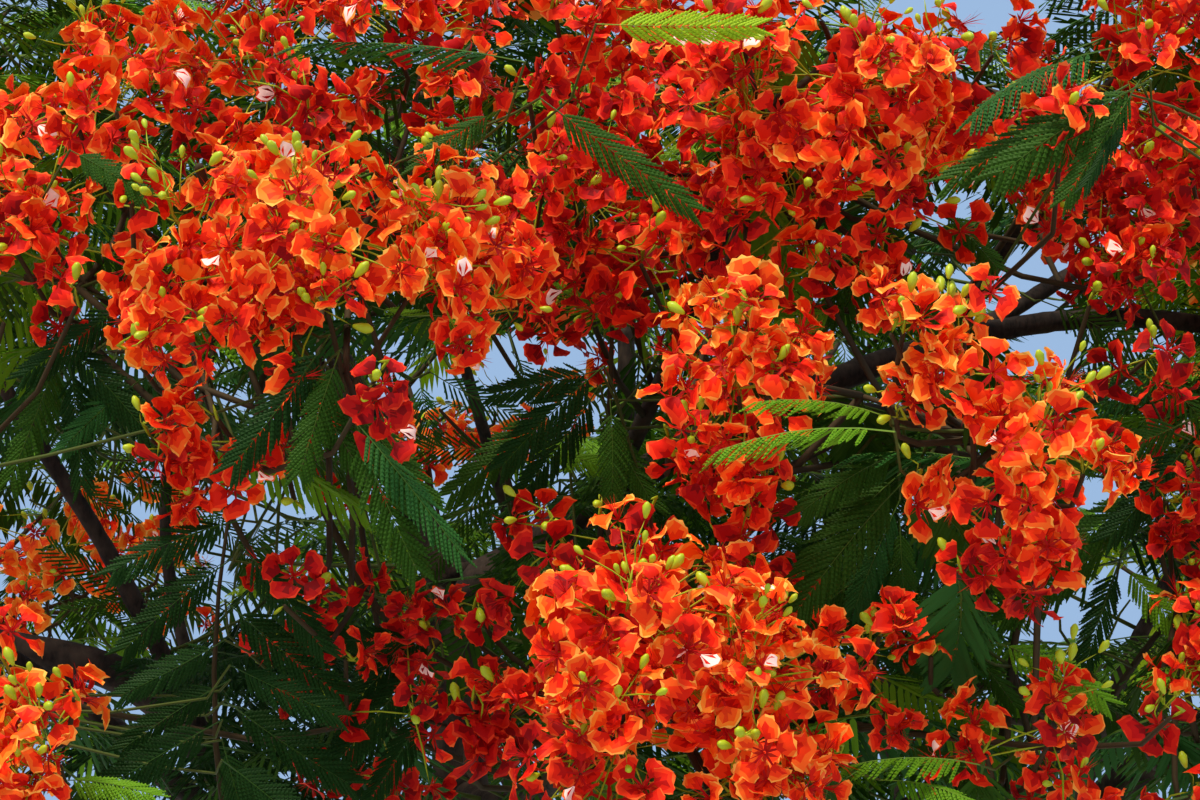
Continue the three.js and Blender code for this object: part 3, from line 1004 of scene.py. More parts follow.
    def petal_turns(self, facing: Rows, rng: np.random.Generator) -> Rows:
        """Spreads five petals in each flower, from cupped to bent back.

        Args:
            facing: Rows of the ways that the flowers face.
            rng: The source of their differences.

        Returns:
            Five Euler turns for each flower; the first is the upright petal's.
        """
        flowers = len(facing)
        spin = rng.uniform(0, 6.28, (flowers, 1)) + np.arange(self.PETALS) * 0.4 * math.pi
        axes = np.repeat(unit(facing)[:, None], self.PETALS, axis=1)
        out = ring_about(axes, spin + rng.uniform(-0.2, 0.2, spin.shape))
        rise = np.radians(rng.uniform(-8, 46, (flowers, 1)) + rng.uniform(-15, 15, spin.shape))
        rise[:, 0] += 0.4
        rise = rise[..., None]
        ways = out * np.cos(rise) + axes * np.sin(rise)
        tops = axes * np.cos(rise) - out * np.sin(rise)
        return turns_of(ways.reshape(-1, 3), tops.reshape(-1, 3))


@dataclass(frozen=True)
class Leaf:
    """A twice-divided leaf of unit length along X: a drooping rib with a comb of leaflets on each side."""

    pairs: int = 20
    comb: float = 0.24
    comb_width: float = 0.04
    reach: float = 0.41
    middle_reach: float = 0.3
    core: float = 0.82
    leaflets: int = 8
    middle_leaflets: int = 3
    droop: float = 0.26

    LEAFLET, RIB = range(2)
    KINDS = 4

    def rib(self, share: float, bow: float) -> Rows:
        """Finds the point at a share of the rib, which bows sideways."""
        lift = 0.06 * share - self.droop * share**2
        return np.array((share * (1 - 0.06 * share), bow * share * share, lift))

    def side_comb(self, draft: Draft, detail: Detail, start: Rows, out: Rows, flat: Rows,
                  length: float) -> None:
        """Adds one comb of leaflets.

        Args:
            draft: The draft that takes it.
            detail: How finely it is drawn.
            start: Where it leaves the rib.
            out: The way it points.
            flat: The way its leaflets spread.
            length: Its length.
        """
        wide = flat * self.comb_width * (self.middle_reach if detail is Detail.MIDDLE else self.reach)
        fold = unit(np.cross(out, flat))
        fold = fold * math.copysign(self.comb_width * 0.2, -fold[2])
        fall = np.array((0.0, 0.0, -0.3 * length))
        if detail is Detail.FAR:
            wide = wide * 1.1
            middle = start + out * length * 0.5 + fall * 0.3
            draft.add([start, middle - wide, start + out * length + fall, middle + wide],
                      [(0, 1, 2, 3)], self.LEAFLET)
            return
        near, late = start + out * length * 0.14, start + out * length * 0.8 + fall * 0.64
        places = [start, start + out * length + fall]
        for way in (-1, 1):
            core = (wide * way + fold) * self.core
            places += [near + core, late + core]
        faces = [(0, 2, 3, 1), (0, 1, 5, 4)]
        count = self.leaflets if detail is Detail.CLOSE else self.middle_leaflets
        for k in range(count):
            share = k / count
            foot = start + out * length * share + fall * share**2
            ahead = out * length / count
            reach = min(1.0, 2.6 * (1.08 - share)) * min(1.0, 0.6 + 3 * share)
            for way in (-1, 1):
                corner = len(places)
                places += [foot, foot + ahead, foot + (wide * way + fold) * reach + ahead * 1.1]
                faces.append((corner, corner + 1, corner + 2)[::way])
        draft.add(places, faces, self.LEAFLET)

    def mesh(self, name: str, detail: Detail, chance: random.Random) -> Mesh:
        """Makes one leaf.

        Args:
            name: The mesh's name.
            detail: How finely it is drawn.
            chance: The source of its differences.

        Returns:
            The mesh.
        """
        draft = Draft()
        bow = chance.uniform(-0.16, 0.16)
        pairs = self.pairs - (0 if detail is Detail.CLOSE else 5)
        for k in range(pairs):
            share = 0.14 + 0.86 * (k + 0.5) / pairs
            start = self.rib(share, bow)
            ahead = unit(self.rib(share + 0.02, bow) - start)
            side = unit(np.cross(UP, ahead))
            length = self.comb * math.sin(math.pi * (0.2 + 0.62 * share)) ** 0.7
            forward = 0.6 + 0.8 * share
            for way in (-1, 1):
                lift = UP * chance.uniform(-0.75, -0.1)
                out = unit(side * way + ahead * forward + lift)
                flat = unit(np.cross(np.cross(side, ahead), out)) + UP * chance.uniform(-0.35, 0.35)
                self.side_comb(draft, detail, start, out, flat, length * chance.uniform(0.86, 1.06))
        steps = 3 if detail is Detail.FAR else 6
        points = np.array([self.rib(share, bow) for share in np.linspace(0, 1, steps)])
        add_tube(draft, points, np.linspace(0.007, 0.002, steps), 3, self.RIB)
        return draft.mesh(name, smooth=False)

    def variants(self, detail: Detail, seed: int) -> list[Mesh]:
        """Makes leaves that bow and droop differently, by a seed."""
        chance = random.Random(seed)
        return [self.mesh(f"leaf_{detail.value}_{k}", detail, chance) for k in range(self.KINDS)]


@dataclass
class Head:
    """A head of flowers on the end of a twig."""

    base: Rows
    axis: Rows
    radius: float
    count: int
    tone: Tone
    detail: Detail = Detail.FAR
    spread: float = 112.0
    buds: int = 7
    seed: int = 0


@dataclass
class LeafPlace:
    """Where a leaf grows, the way it points, and its length and shade."""

    root: Rows
    heading: Rows
    top: Rows
    length: float
    green: Green
    width: float = 1.0


@dataclass(frozen=True)
class SeenPlace:
    """A place that the photograph shows, in pixels, and its depth in metres."""

    across: int
    down: int
    depth: float

    def seed(self) -> int:
        """Gives the seed of what grows there, from its pixels."""
        return self.across * 1000 + self.down


@dataclass(frozen=True)
class SeenHead(SeenPlace):
    """A head that the photograph shows: how large it is, which way it faces, and its shade."""

    radius: float
    count: int
    axis: Triple
    tone: Tone
    buds: int = 5
    spread: float = 105.0


@dataclass(frozen=True)
class SeenLeaf:
    """A leaf that the photograph shows: foot and tip in pixels, depth, tilt to the camera, and width."""

    green: Green
    foot: tuple[int, int]
    tip: tuple[int, int]
    depth: float
    tilt: float = 0.9
    width: float = 0.85


# Petal tones as painted light: painted sunlight shining through, painted sunlight, the plain scarlet, and
# painted shade.
BACKLIT, BRIGHT, RED, DARK = Tone.GOLDEN, Tone.SUNLIT, Tone.SCARLET, Tone.CRIMSON

# Each row: pixels across and down, depth, radius, flowers, axis, shade, buds and spread in degrees. The
# small heads at the end need only their pixels, depth and flowers.
SEEN_HEADS = (
    *(SeenHead(*row) for row in (
        (185, 215, 5.95, 0.2, 34, (-0.35, -0.8, 0.6), BRIGHT, 13),
        (300, 225, 5.85, 0.21, 38, (0.05, -0.8, 0.65), BRIGHT, 13),
        (425, 250, 5.95, 0.19, 34, (0.3, -0.75, 0.6), BRIGHT, 18),
        (190, 320, 5.9, 0.15, 22, (-0.3, -0.9, -0.1), BRIGHT, 4),
        (320, 310, 5.85, 0.14, 18, (0.1, -0.95, -0.2), RED, 4),
        (490, 305, 6.1, 0.14, 18, (0.4, -0.8, 0), RED, 7),
        (180, 445, 6, 0.15, 20, (-0.2, -0.9, -0.4), RED, 4),
        (100, 65, 6.4, 0.22, 46, (-0.2, -0.8, 0.5), BRIGHT, 12),
        (270, 55, 6.5, 0.22, 44, (0.1, -0.8, 0.6), RED, 12),
        (430, 25, 6.6, 0.18, 24, (0.2, -0.7, 0.7), RED, 9),
        (30, 215, 6.3, 0.19, 28, (-0.3, -0.9, 0.2), RED, 6),
        (590, 200, 6.5, 0.22, 34, (0, -0.9, 0.2), DARK, 6),
        (590, 50, 6.7, 0.2, 34, (0, -0.8, 0.6), RED, 7),
        (600, 290, 6.6, 0.15, 18, (0, -0.9, -0.3), DARK, 3),
        (740, 80, 6.2, 0.2, 32, (-0.2, -0.85, 0.5), RED, 9),
        (860, 75, 6.2, 0.21, 36, (0.15, -0.85, 0.55), BRIGHT, 12),
        (800, 200, 6.25, 0.2, 32, (0, -0.95, -0.1), DARK, 7),
        (905, 190, 6.3, 0.17, 24, (0.3, -0.9, 0), RED, 7),
        (1130, 60, 6.6, 0.2, 30, (0.2, -0.85, 0.5), RED, 7),
        (1160, 200, 6.7, 0.2, 30, (0.1, -0.95, 0), DARK, 6),
        (735, 360, 5.9, 0.17, 26, (-0.1, -0.85, 0.5), BRIGHT, 9),
        (700, 440, 6, 0.14, 18, (-0.2, -0.95, 0), RED, 4),
        (768, 482, 6.05, 0.12, 20, (0.1, -0.95, -0.2), RED, 3),
        (950, 350, 5.75, 0.16, 24, (-0.2, -0.8, 0.65), BACKLIT, 9),
        (1040, 430, 5.7, 0.18, 30, (0.25, -0.85, 0.5), BRIGHT, 10),
        (1010, 540, 5.75, 0.15, 20, (0.1, -0.95, -0.2), RED, 4),
        (640, 610, 5.7, 0.2, 34, (-0.1, -0.85, 0.55), BRIGHT, 10),
        (740, 660, 5.7, 0.19, 32, (0.2, -0.85, 0.5), BRIGHT, 9),
        (620, 730, 5.7, 0.19, 30, (-0.1, -0.9, 0.3), RED, 7),
        (750, 760, 5.7, 0.18, 28, (0.1, -0.9, 0.2), BRIGHT, 9),
        (560, 530, 6, 0.15, 16, (-0.3, -0.9, 0.3), DARK, 4),
        (730, 545, 6.2, 0.15, 18, (0.1, -0.9, 0.2), DARK, 3),
        (862, 645, 6.1, 0.14, 19, (0.2, -0.9, 0.3), RED, 6),
        (1055, 715, 6, 0.16, 18, (0.1, -0.85, 0.5), RED, 7),
        (1170, 690, 6.3, 0.15, 16, (0.3, -0.85, 0.5), RED, 6),
        (45, 730, 5.9, 0.18, 26, (-0.2, -0.85, 0.5), BRIGHT, 7),
        (365, 705, 6.5, 0.15, 14, (-0.3, -0.9, 0.1), DARK, 3),
        (300, 598, 6.2, 0.13, 10, (-0.1, -0.95, -0.2), DARK, 1),
        (374, 384, 5.62, 0.04, 3, (0, -0.97, -0.2), RED, 2, 60),
        (382, 432, 5.7, 0.02, 1, (0.1, -0.97, 0), RED, 0, 30),
        (284, 606, 5.9, 0.01, 1, (0, -1, -0.2), DARK, 0, 20),
        (292, 578, 5.95, 0.01, 1, (0, -1, -0.1), DARK, 0, 20),
        (294, 500, 6, 0.01, 1, (0.1, -1, -0.5), DARK, 1, 20),
        (110, 505, 9.2, 0.14, 15, (-0.1, -0.9, 0.4), BACKLIT, 1),
        (165, 535, 9.2, 0.12, 12, (0.1, -0.9, 0.4), BACKLIT, 1),
        (305, 95, 6.3, 0.13, 15, (0, -0.9, 0.3), RED, 5),
        (1180, 470, 6.9, 0.18, 20, (0.3, -0.9, 0.2), DARK, 4),
        (55, 545, 9, 0.25, 40, (-0.2, -0.85, 0.5), BACKLIT, 4),
        (150, 560, 9.4, 0.2, 22, (0.1, -0.85, 0.5), BACKLIT, 4),
        (460, 425, 9.3, 0.16, 12, (0.1, -0.85, 0.5), BACKLIT, 3),
        (495, 395, 9.3, 0.14, 12, (0, -0.9, 0.4), BACKLIT, 2),
        (425, 445, 9.2, 0.12, 10, (0, -0.9, 0.4), BACKLIT, 1),
        (548, 372, 9.3, 0.13, 12, (0, -0.9, 0.4), BACKLIT, 1),
        (500, 425, 9.3, 0.1, 9, (0, -0.9, 0.4), BACKLIT, 1),
        (25, 790, 5.9, 0.15, 18, (-0.2, -0.9, 0.3), BRIGHT, 4),
        (408, 704, 6.12, 0.13, 11, (-0.2, -0.95, 0.1), DARK, 1),
        (512, 705, 6.1, 0.11, 10, (0.1, -0.95, 0.1), RED, 1),
        (1110, 262, 6.5, 0.13, 14, (0, -0.95, -0.1), DARK, 3),
        (1130, 165, 6.55, 0.12, 10, (0, -0.95, 0.1), RED, 2),
        (1150, 356, 6.35, 0.07, 8, (0.1, -0.95, -0.1), DARK, 2),
        (932, 50, 6.3, 0.16, 20, (0.2, -0.9, 0.3), RED, 6),
        (2, 660, 6, 0.12, 14, (-0.2, -0.9, 0.3), BRIGHT, 2),
        (562, 772, 5.75, 0.12, 12, (-0.1, -0.95, 0.2), RED, 3),
        (543, 168, 6.3, 0.12, 16, (0, -0.95, 0.1), RED, 2),
        (448, 180, 6.1, 0.11, 14, (0.2, -0.9, 0.2), BRIGHT, 5),
        (1000, 120, 6.5, 0.13, 12, (0, -0.95, 0.1), RED, 2),
        (40, 580, 8.9, 0.15, 18, (-0.1, -0.95, 0.3), BACKLIT, 2),
        (645, 250, 6.3, 0.12, 12, (0.1, -0.95, 0.1), RED, 3),
        (655, 5, 6.6, 0.12, 12, (0, -0.9, 0.4), RED, 3),
        (1160, 0, 6.6, 0.12, 12, (0.1, -0.9, 0.4), RED, 2),
    )),
    *(SeenHead(across, down, depth, 0.03 + 0.006 * count, count, (0, -0.95, 0.1), tone, count // 4)
      for tone, rows in {
          BRIGHT: (
              (75, 115, 6.2, 7), (905, 322, 5.7, 8), (915, 480, 5.8, 7), (886, 394, 5.8, 4),
              (1085, 468, 5.65, 5), (72, 692, 5.9, 5), (897, 412, 5.8, 4), (975, 300, 5.7, 5),
              (770, 375, 5.85, 5), (30, 765, 5.85, 5), (130, 345, 5.85, 4), (355, 272, 5.8, 5),
              (130, 195, 5.95, 4), (738, 306, 5.85, 4), (892, 328, 5.68, 3), (972, 374, 5.65, 3),
              (452, 184, 5.95, 2),
          ),
          RED: (
              (896, 72, 6.15, 8), (994, 46, 6.4, 7), (150, 432, 5.9, 6), (1033, 572, 5.7, 7),
              (988, 748, 6, 7), (555, 2, 6.5, 8), (603, 590, 5.75, 9), (815, 264, 6.2, 7),
              (1045, 204, 6.5, 7), (1190, 622, 6.3, 7), (1065, 784, 6.1, 8), (838, 755, 6, 8),
              (1192, 790, 6.2, 6), (478, 600, 6.2, 6), (742, 195, 6.2, 8), (15, 245, 6.2, 8),
              (325, 298, 5.8, 5), (955, 562, 5.75, 5), (952, 25, 6.3, 5), (432, 90, 6.3, 5),
              (1190, 155, 6.5, 5), (1160, 700, 6.2, 5), (378, 368, 5.6, 2), (232, 476, 5.95, 6),
              (76, 296, 6.05, 4), (880, 632, 6, 4), (886, 708, 6.1, 3), (214, 410, 5.9, 3),
              (822, 14, 6.3, 4), (670, 435, 5.95, 3), (385, 12, 6.4, 5), (745, 42, 6.1, 5),
              (1065, 112, 5.95, 4), (1150, 268, 6.4, 4), (1036, 700, 5.95, 4), (278, 378, 5.78, 2),
              (720, 790, 5.7, 5), (932, 652, 6, 3), (2, 318, 6.2, 2),
          ),
          DARK: (
              (602, 505, 5.95, 6), (650, 506, 5.9, 3), (528, 84, 6.3, 4), (1172, 712, 5.9, 5),
              (468, 622, 6.2, 3), (466, 724, 6.15, 8), (897, 246, 6.3, 6), (1192, 560, 6.4, 8),
              (1092, 296, 6.4, 5), (575, 195, 6.3, 4), (475, 690, 6.1, 3), (612, 322, 6.4, 4),
              (380, 785, 6.4, 3), (430, 632, 6.2, 4), (392, 622, 6.3, 3), (1168, 497, 6.35, 3),
              (345, 655, 6.1, 3),
          ),
      }.items() for across, down, depth, count in rows),
)

# Each row: the foot's pixels, the tip's pixels, depth, tilt and width.
SEEN_LEAVES = tuple(
    SeenLeaf(green, row[:2], row[2:4], *row[4:])
    for green, rows in {
        Green.FRESH: (
            (596, 24, 756, 34, 5.9, 1, 0.6),
        ),
        Green.GRASS: (
            (895, 432, 722, 442, 5.6, 0.2), (890, 418, 758, 396, 5.8, 0.3), (980, 765, 850, 762, 5.9, 0.3),
            (990, 640, 1110, 690, 6.2, 0.7), (1120, 560, 1190, 650, 6.5), (880, 780, 990, 800, 5.9, 0.4),
            (60, 780, 150, 790, 6, 0.6), (640, 330, 560, 300, 6.55, 0.8), (840, 310, 760, 330, 6.3, 0.7),
            (380, 590, 440, 640, 7), (372, 306, 452, 338, 6.3, 0.8), (520, 440, 600, 470, 6.5, 0.8),
        ),
        Green.DEEP: (
            (540, 98, 688, 216, 5.95, 0.85, 0.55), (500, 110, 410, 160, 6.1, 0.7),
            (1128, 85, 955, 190, 6.1, 0.8, 0.6), (1140, 80, 1065, 200, 6, 0.9, 0.6),
            (340, 350, 300, 470, 5.8, 1), (1040, 300, 1160, 350, 6.6), (1170, 480, 1050, 560, 6.5, 0.8),
            (70, 150, 140, 190, 6, 0.8), (600, 420, 660, 500, 6.4), (960, 20, 1010, 90, 6.8, 0.8),
            (20, 60, 90, 10, 6.9, 0.8), (355, 420, 405, 570, 5.75, 0.8), (345, 400, 430, 500, 5.8, 0.7),
            (300, 360, 350, 470, 5.85), (60, 350, 20, 480, 6.3), (610, 400, 620, 500, 6.3),
            (500, 470, 420, 560, 6.6), (905, 450, 800, 500, 6.1, 0.7), (900, 520, 900, 620, 6.2),
            (830, 480, 740, 520, 6.3), (1190, 420, 1090, 470, 6.5), (1130, 330, 1200, 440, 6.6),
            (960, 640, 1020, 700, 6.4), (900, 740, 980, 790, 6.2, 0.8), (1150, 80, 1000, 170, 6, 0.7),
            (940, 210, 1000, 260, 6.5), (960, 140, 1050, 180, 6.7), (150, 600, 50, 560, 7.6, 0.8),
            (160, 590, 70, 620, 7.6, 0.8), (250, 500, 170, 545, 7, 0.8), (130, 470, 195, 520, 7.7, 0.8),
            (200, 500, 262, 560, 7.5), (60, 470, 110, 520, 7.9), (170, 640, 110, 600, 7.4, 0.8),
            (905, 480, 790, 600, 6.1, 0.8), (905, 470, 800, 560, 6.15, 0.8), (880, 560, 780, 640, 6.3),
            (500, 450, 400, 440, 6.6), (1120, 540, 1000, 610, 6.5), (950, 620, 900, 700, 6.4),
            (560, 400, 460, 500, 6.4), (512, 352, 545, 402, 7.6),
        ),
        Green.BLUISH: (
            (525, 62, 292, 50, 5.9, 0.1, 0.55), (1112, 48, 965, 108, 6.1, 0.4, 0.8),
            (350, 415, 455, 560, 5.7, 0.5, 0.6), (900, 500, 850, 600, 6.2),
            (1190, 360, 1080, 400, 6.6, 0.8), (140, 380, 60, 440, 6.3),
            (430, 372, 514, 428, 6.8, 0.9, 0.8), (420, 378, 424, 440, 6.9, 0.9, 0.9),
        ),
        Green.SHADED: (
            (225, 600, 330, 700, 6.2), (230, 560, 120, 640, 6.2), (230, 680, 120, 740, 6.2),
            (225, 700, 340, 790, 6.2), (440, 610, 350, 720, 6.4), (240, 520, 110, 560, 6, 0.7),
            (240, 545, 330, 640, 6.1, 0.8), (225, 640, 130, 700, 6.1), (222, 720, 100, 790, 6.1),
            (222, 760, 320, 830, 6), (230, 665, 330, 720, 6, 0.8), (420, 640, 330, 640, 6.3),
            (425, 660, 330, 770, 6.3), (430, 700, 380, 800, 6.3), (222, 740, 250, 840, 6.1),
            (228, 560, 165, 600, 6.6), (60, 340, 150, 420, 6.3), (130, 300, 30, 380, 6.3),
            (70, 360, 90, 480, 6.3), (604, 366, 498, 456, 6.2), (600, 370, 500, 400, 6.2),
            (600, 385, 530, 500, 6.3), (1190, 440, 1120, 540, 6.5), (1120, 560, 1080, 660, 6.5),
            (330, 335, 245, 470, 5.8, 1), (1132, 95, 1090, 190, 6, 0.9, 0.5),
        ),
    }.items() for row in rows
)


@dataclass(frozen=True)
class Window:
    """A round patch of the photograph where nothing stands nearer than a depth: a limb or sky shows.

    Where only leaves show, it is closed to blossom alone.
    """

    across: int
    down: int
    radius: int
    depth: float = 99.0
    leafy: bool = False


# By radius and depth, where limbs show; by radius, the gaps of sky, and the leaves clear of blossom.
WINDOWS = (
    *(Window(x, y, radius, depth) for (radius, depth), places in {
        (15, 7.4): ((845, 373), (868, 367), (892, 360), (915, 352)),
        (11, 7.3): ((1008, 241),),
        (11, 7.6): ((1035, 295), (1060, 279), (1085, 264), (1110, 251)),
        (12, 7.4): ((1005, 331), (1030, 326), (1060, 321), (1090, 325), (1120, 321), (1150, 321),
                    (1185, 323)),
        (13, 7.4): ((50, 460), (75, 500), (100, 540), (122, 578)),
        (15, 7.5): ((24, 655), (48, 666), (115, 697)),
        (17, 7.3): ((454, 640), (453, 685), (457, 730), (462, 780)),
        (12, 7.3): ((432, 545), (415, 512), (398, 480)),
    }.items() for x, y in places),
    *(Window(x, y, radius) for radius, places in {
        9: ((1130, 488),),
        10: ((1052, 262), (955, 276), (545, 460)),
        11: ((178, 728), (920, 12)),
        12: ((535, 352), (505, 402), (1000, 262), (1028, 262), (1032, 312), (1045, 352), (262, 498)),
        13: ((962, 182),),
        14: ((1060, 345), (1076, 340)),
        15: ((1060, 612),),
        22: ((1140, 596),),
    }.items() for x, y in places),
    *(Window(x, y, radius, leafy=True) for radius, places in {
        10: ((350, 155), (704, 415), (828, 168), (1165, 62)),
        12: ((484, 166), (215, 430), (270, 522), (820, 710), (145, 8), (125, 75), (970, 515), (935, 300),
             (122, 488), (700, 255), (358, 367), (562, 798), (368, 604)),
        14: ((350, 195), (70, 542), (745, 410), (590, 205), (795, 228), (835, 292), (490, 576), (45, 672),
             (190, 185), (680, 145), (285, 340), (955, 410), (625, 488), (800, 525), (520, 730), (4, 590),
             (448, 588), (1188, 418), (242, 515), (1200, 592), (1142, 704), (348, 742)),
        16: ((545, 472), (104, 740), (974, 50), (145, 580), (110, 610), (1120, 505), (485, 52), (495, 375),
             (480, 402), (1095, 757), (890, 672), (780, 305), (55, 518), (265, 610), (1112, 722), (100, 683),
             (875, 210), (508, 60)),
        18: ((530, 118), (575, 350), (922, 552), (1075, 28), (1180, 298), (905, 456), (212, 48), (875, 425),
             (840, 605), (115, 288), (240, 110), (366, 243), (765, 230), (808, 50), (880, 10), (450, 480),
             (1148, 312), (355, 62), (925, 250), (1095, 25), (1130, 428), (388, 746), (285, 495), (145, 512),
             (155, 152), (410, 80), (172, 385), (636, 746), (1132, 322), (1196, 688)),
        19: ((674, 492), (851, 329)),
        20: ((320, 50), (390, 58), (92, 600), (353, 236), (325, 348), (805, 480), (928, 590), (935, 210),
             (945, 445), (1085, 505), (230, 592), (205, 36), (45, 80), (205, 372), (645, 345), (640, 385),
             (950, 532), (1136, 85), (1155, 608), (250, 360), (340, 575), (500, 145), (955, 612),
             (236, 548)),
        21: ((151, 231),),
        22: ((68, 168), (130, 515), (350, 625), (980, 76), (875, 772), (1120, 415), (60, 620), (75, 795),
             (550, 35), (405, 350), (575, 505), (50, 640), (1130, 560), (515, 490), (875, 495), (1000, 206),
             (1195, 310), (1010, 662), (1015, 745), (1012, 266), (1186, 738), (865, 600)),
        24: ((98, 335), (520, 38), (630, 355), (795, 515), (1095, 390), (1140, 750), (460, 660), (910, 8),
             (60, 0), (355, 682), (92, 170), (240, 400), (655, 290), (1035, 640), (995, 690), (170, 180),
             (485, 788), (215, 540), (74, 730)),
        25: ((10, 300), (988, 6)),
        26: ((520, 350), (600, 472), (500, 560), (860, 395), (955, 435), (990, 210), (940, 270), (915, 685),
             (985, 790), (428, 328), (842, 722), (1130, 640), (850, 2), (514, 636)),
        28: ((95, 245), (30, 495), (400, 120), (640, 418), (690, 525), (1180, 765), (155, 690), (582, 538),
             (385, 140), (680, 780)),
        30: ((368, 326),),
        33: ((100, 452), (825, 450)),
        34: ((990, 655), (1112, 672)),
        35: ((120, 400), (430, 390)),
        36: ((1095, 585),),
        38: ((1020, 335), (140, 765)),
        52: ((20, 30),),
    }.items() for x, y in places),
)


@dataclass(frozen=True)
class SeenSpray(SeenPlace):
    """A leafy shoot that the photograph shows between the heads, with its shade."""

    green: Green


# Each twig: the pixels of its foot and of its end, and its depth.
SEEN_TWIGS = (((224, 815), (230, 505), 6.3), ((440, 640), (322, 724), 6.4), ((505, 470), (440, 410), 6.6))

SEEN_SPRAYS = tuple(
    SeenSpray(*row, green)
    for green, rows in {
        Green.DEEP: (
            (200, 540, 7.6), (280, 565, 7.8), (520, 545, 6.9), (560, 515, 6.9), (600, 490, 6.9),
            (490, 575, 6.8), (60, 430, 8.6), (200, 520, 8.8), (240, 560, 8.6), (130, 560, 8.5),
            (60, 560, 9.4), (40, 400, 8.6), (110, 395, 8.6), (180, 405, 8.6), (150, 450, 8.8),
            (75, 470, 9), (30, 450, 8.8), (215, 545, 9), (1060, 300, 9), (1150, 290, 8.8),
            (1080, 240, 8.8), (60, 640, 8.8), (100, 440, 8.4), (170, 470, 8.6), (120, 620, 7.6),
            (20, 450, 9.3), (262, 520, 9.3), (1130, 600, 9.0), (70, 430, 9.4), (60, 600, 7.8),
            (540, 420, 7.6), (480, 400, 7.5), (560, 480, 7.6), (640, 500, 7.6), (520, 370, 7.9),
            (840, 520, 7.0), (800, 470, 7.1), (860, 600, 7.1), (780, 570, 7.0), (900, 540, 7.4),
            (1120, 560, 7.5), (1160, 440, 7.6), (1060, 620, 7.5), (1100, 390, 7.7), (950, 240, 7.6),
            (1180, 120, 7.8), (440, 350, 8.6), (470, 370, 8.9), (130, 440, 7.8), (30, 500, 7.9),
            (940, 60, 7.6), (640, 330, 7.4), (20, 30, 7.6), (540, 640, 7.2), (540, 740, 7.2),
            (880, 770, 7.0), (960, 700, 7.0),
        ),
        Green.SHADED: (
            (60, 400, 7.6), (240, 620, 7.3), (320, 640, 7.5), (390, 600, 7.8), (180, 650, 7.3),
            (260, 700, 7.1), (340, 700, 7.3), (400, 700, 7.6), (160, 740, 7.1), (240, 780, 7.1),
            (330, 780, 7.2), (290, 660, 6.9), (200, 700, 6.9), (280, 760, 6.9), (1100, 540, 7.3),
            (860, 540, 7.1),
        ),
        Green.GRASS: (
            (350, 530, 7.9), (400, 545, 8.0), (300, 520, 8.2), (120, 480, 8.4), (620, 440, 7.9),
            (1150, 640, 7.6), (1010, 560, 8.0), (560, 440, 7.3), (600, 415, 7.3), (500, 330, 8.2),
            (100, 500, 8.8), (170, 600, 8.6), (660, 420, 7.0), (700, 60, 7.2),
        ),
        Green.FRESH: (
            (360, 560, 8.3), (1180, 600, 8.2), (330, 520, 8.6), (420, 580, 8.8), (1150, 560, 8.6),
        ),
    }.items() for row in rows
)


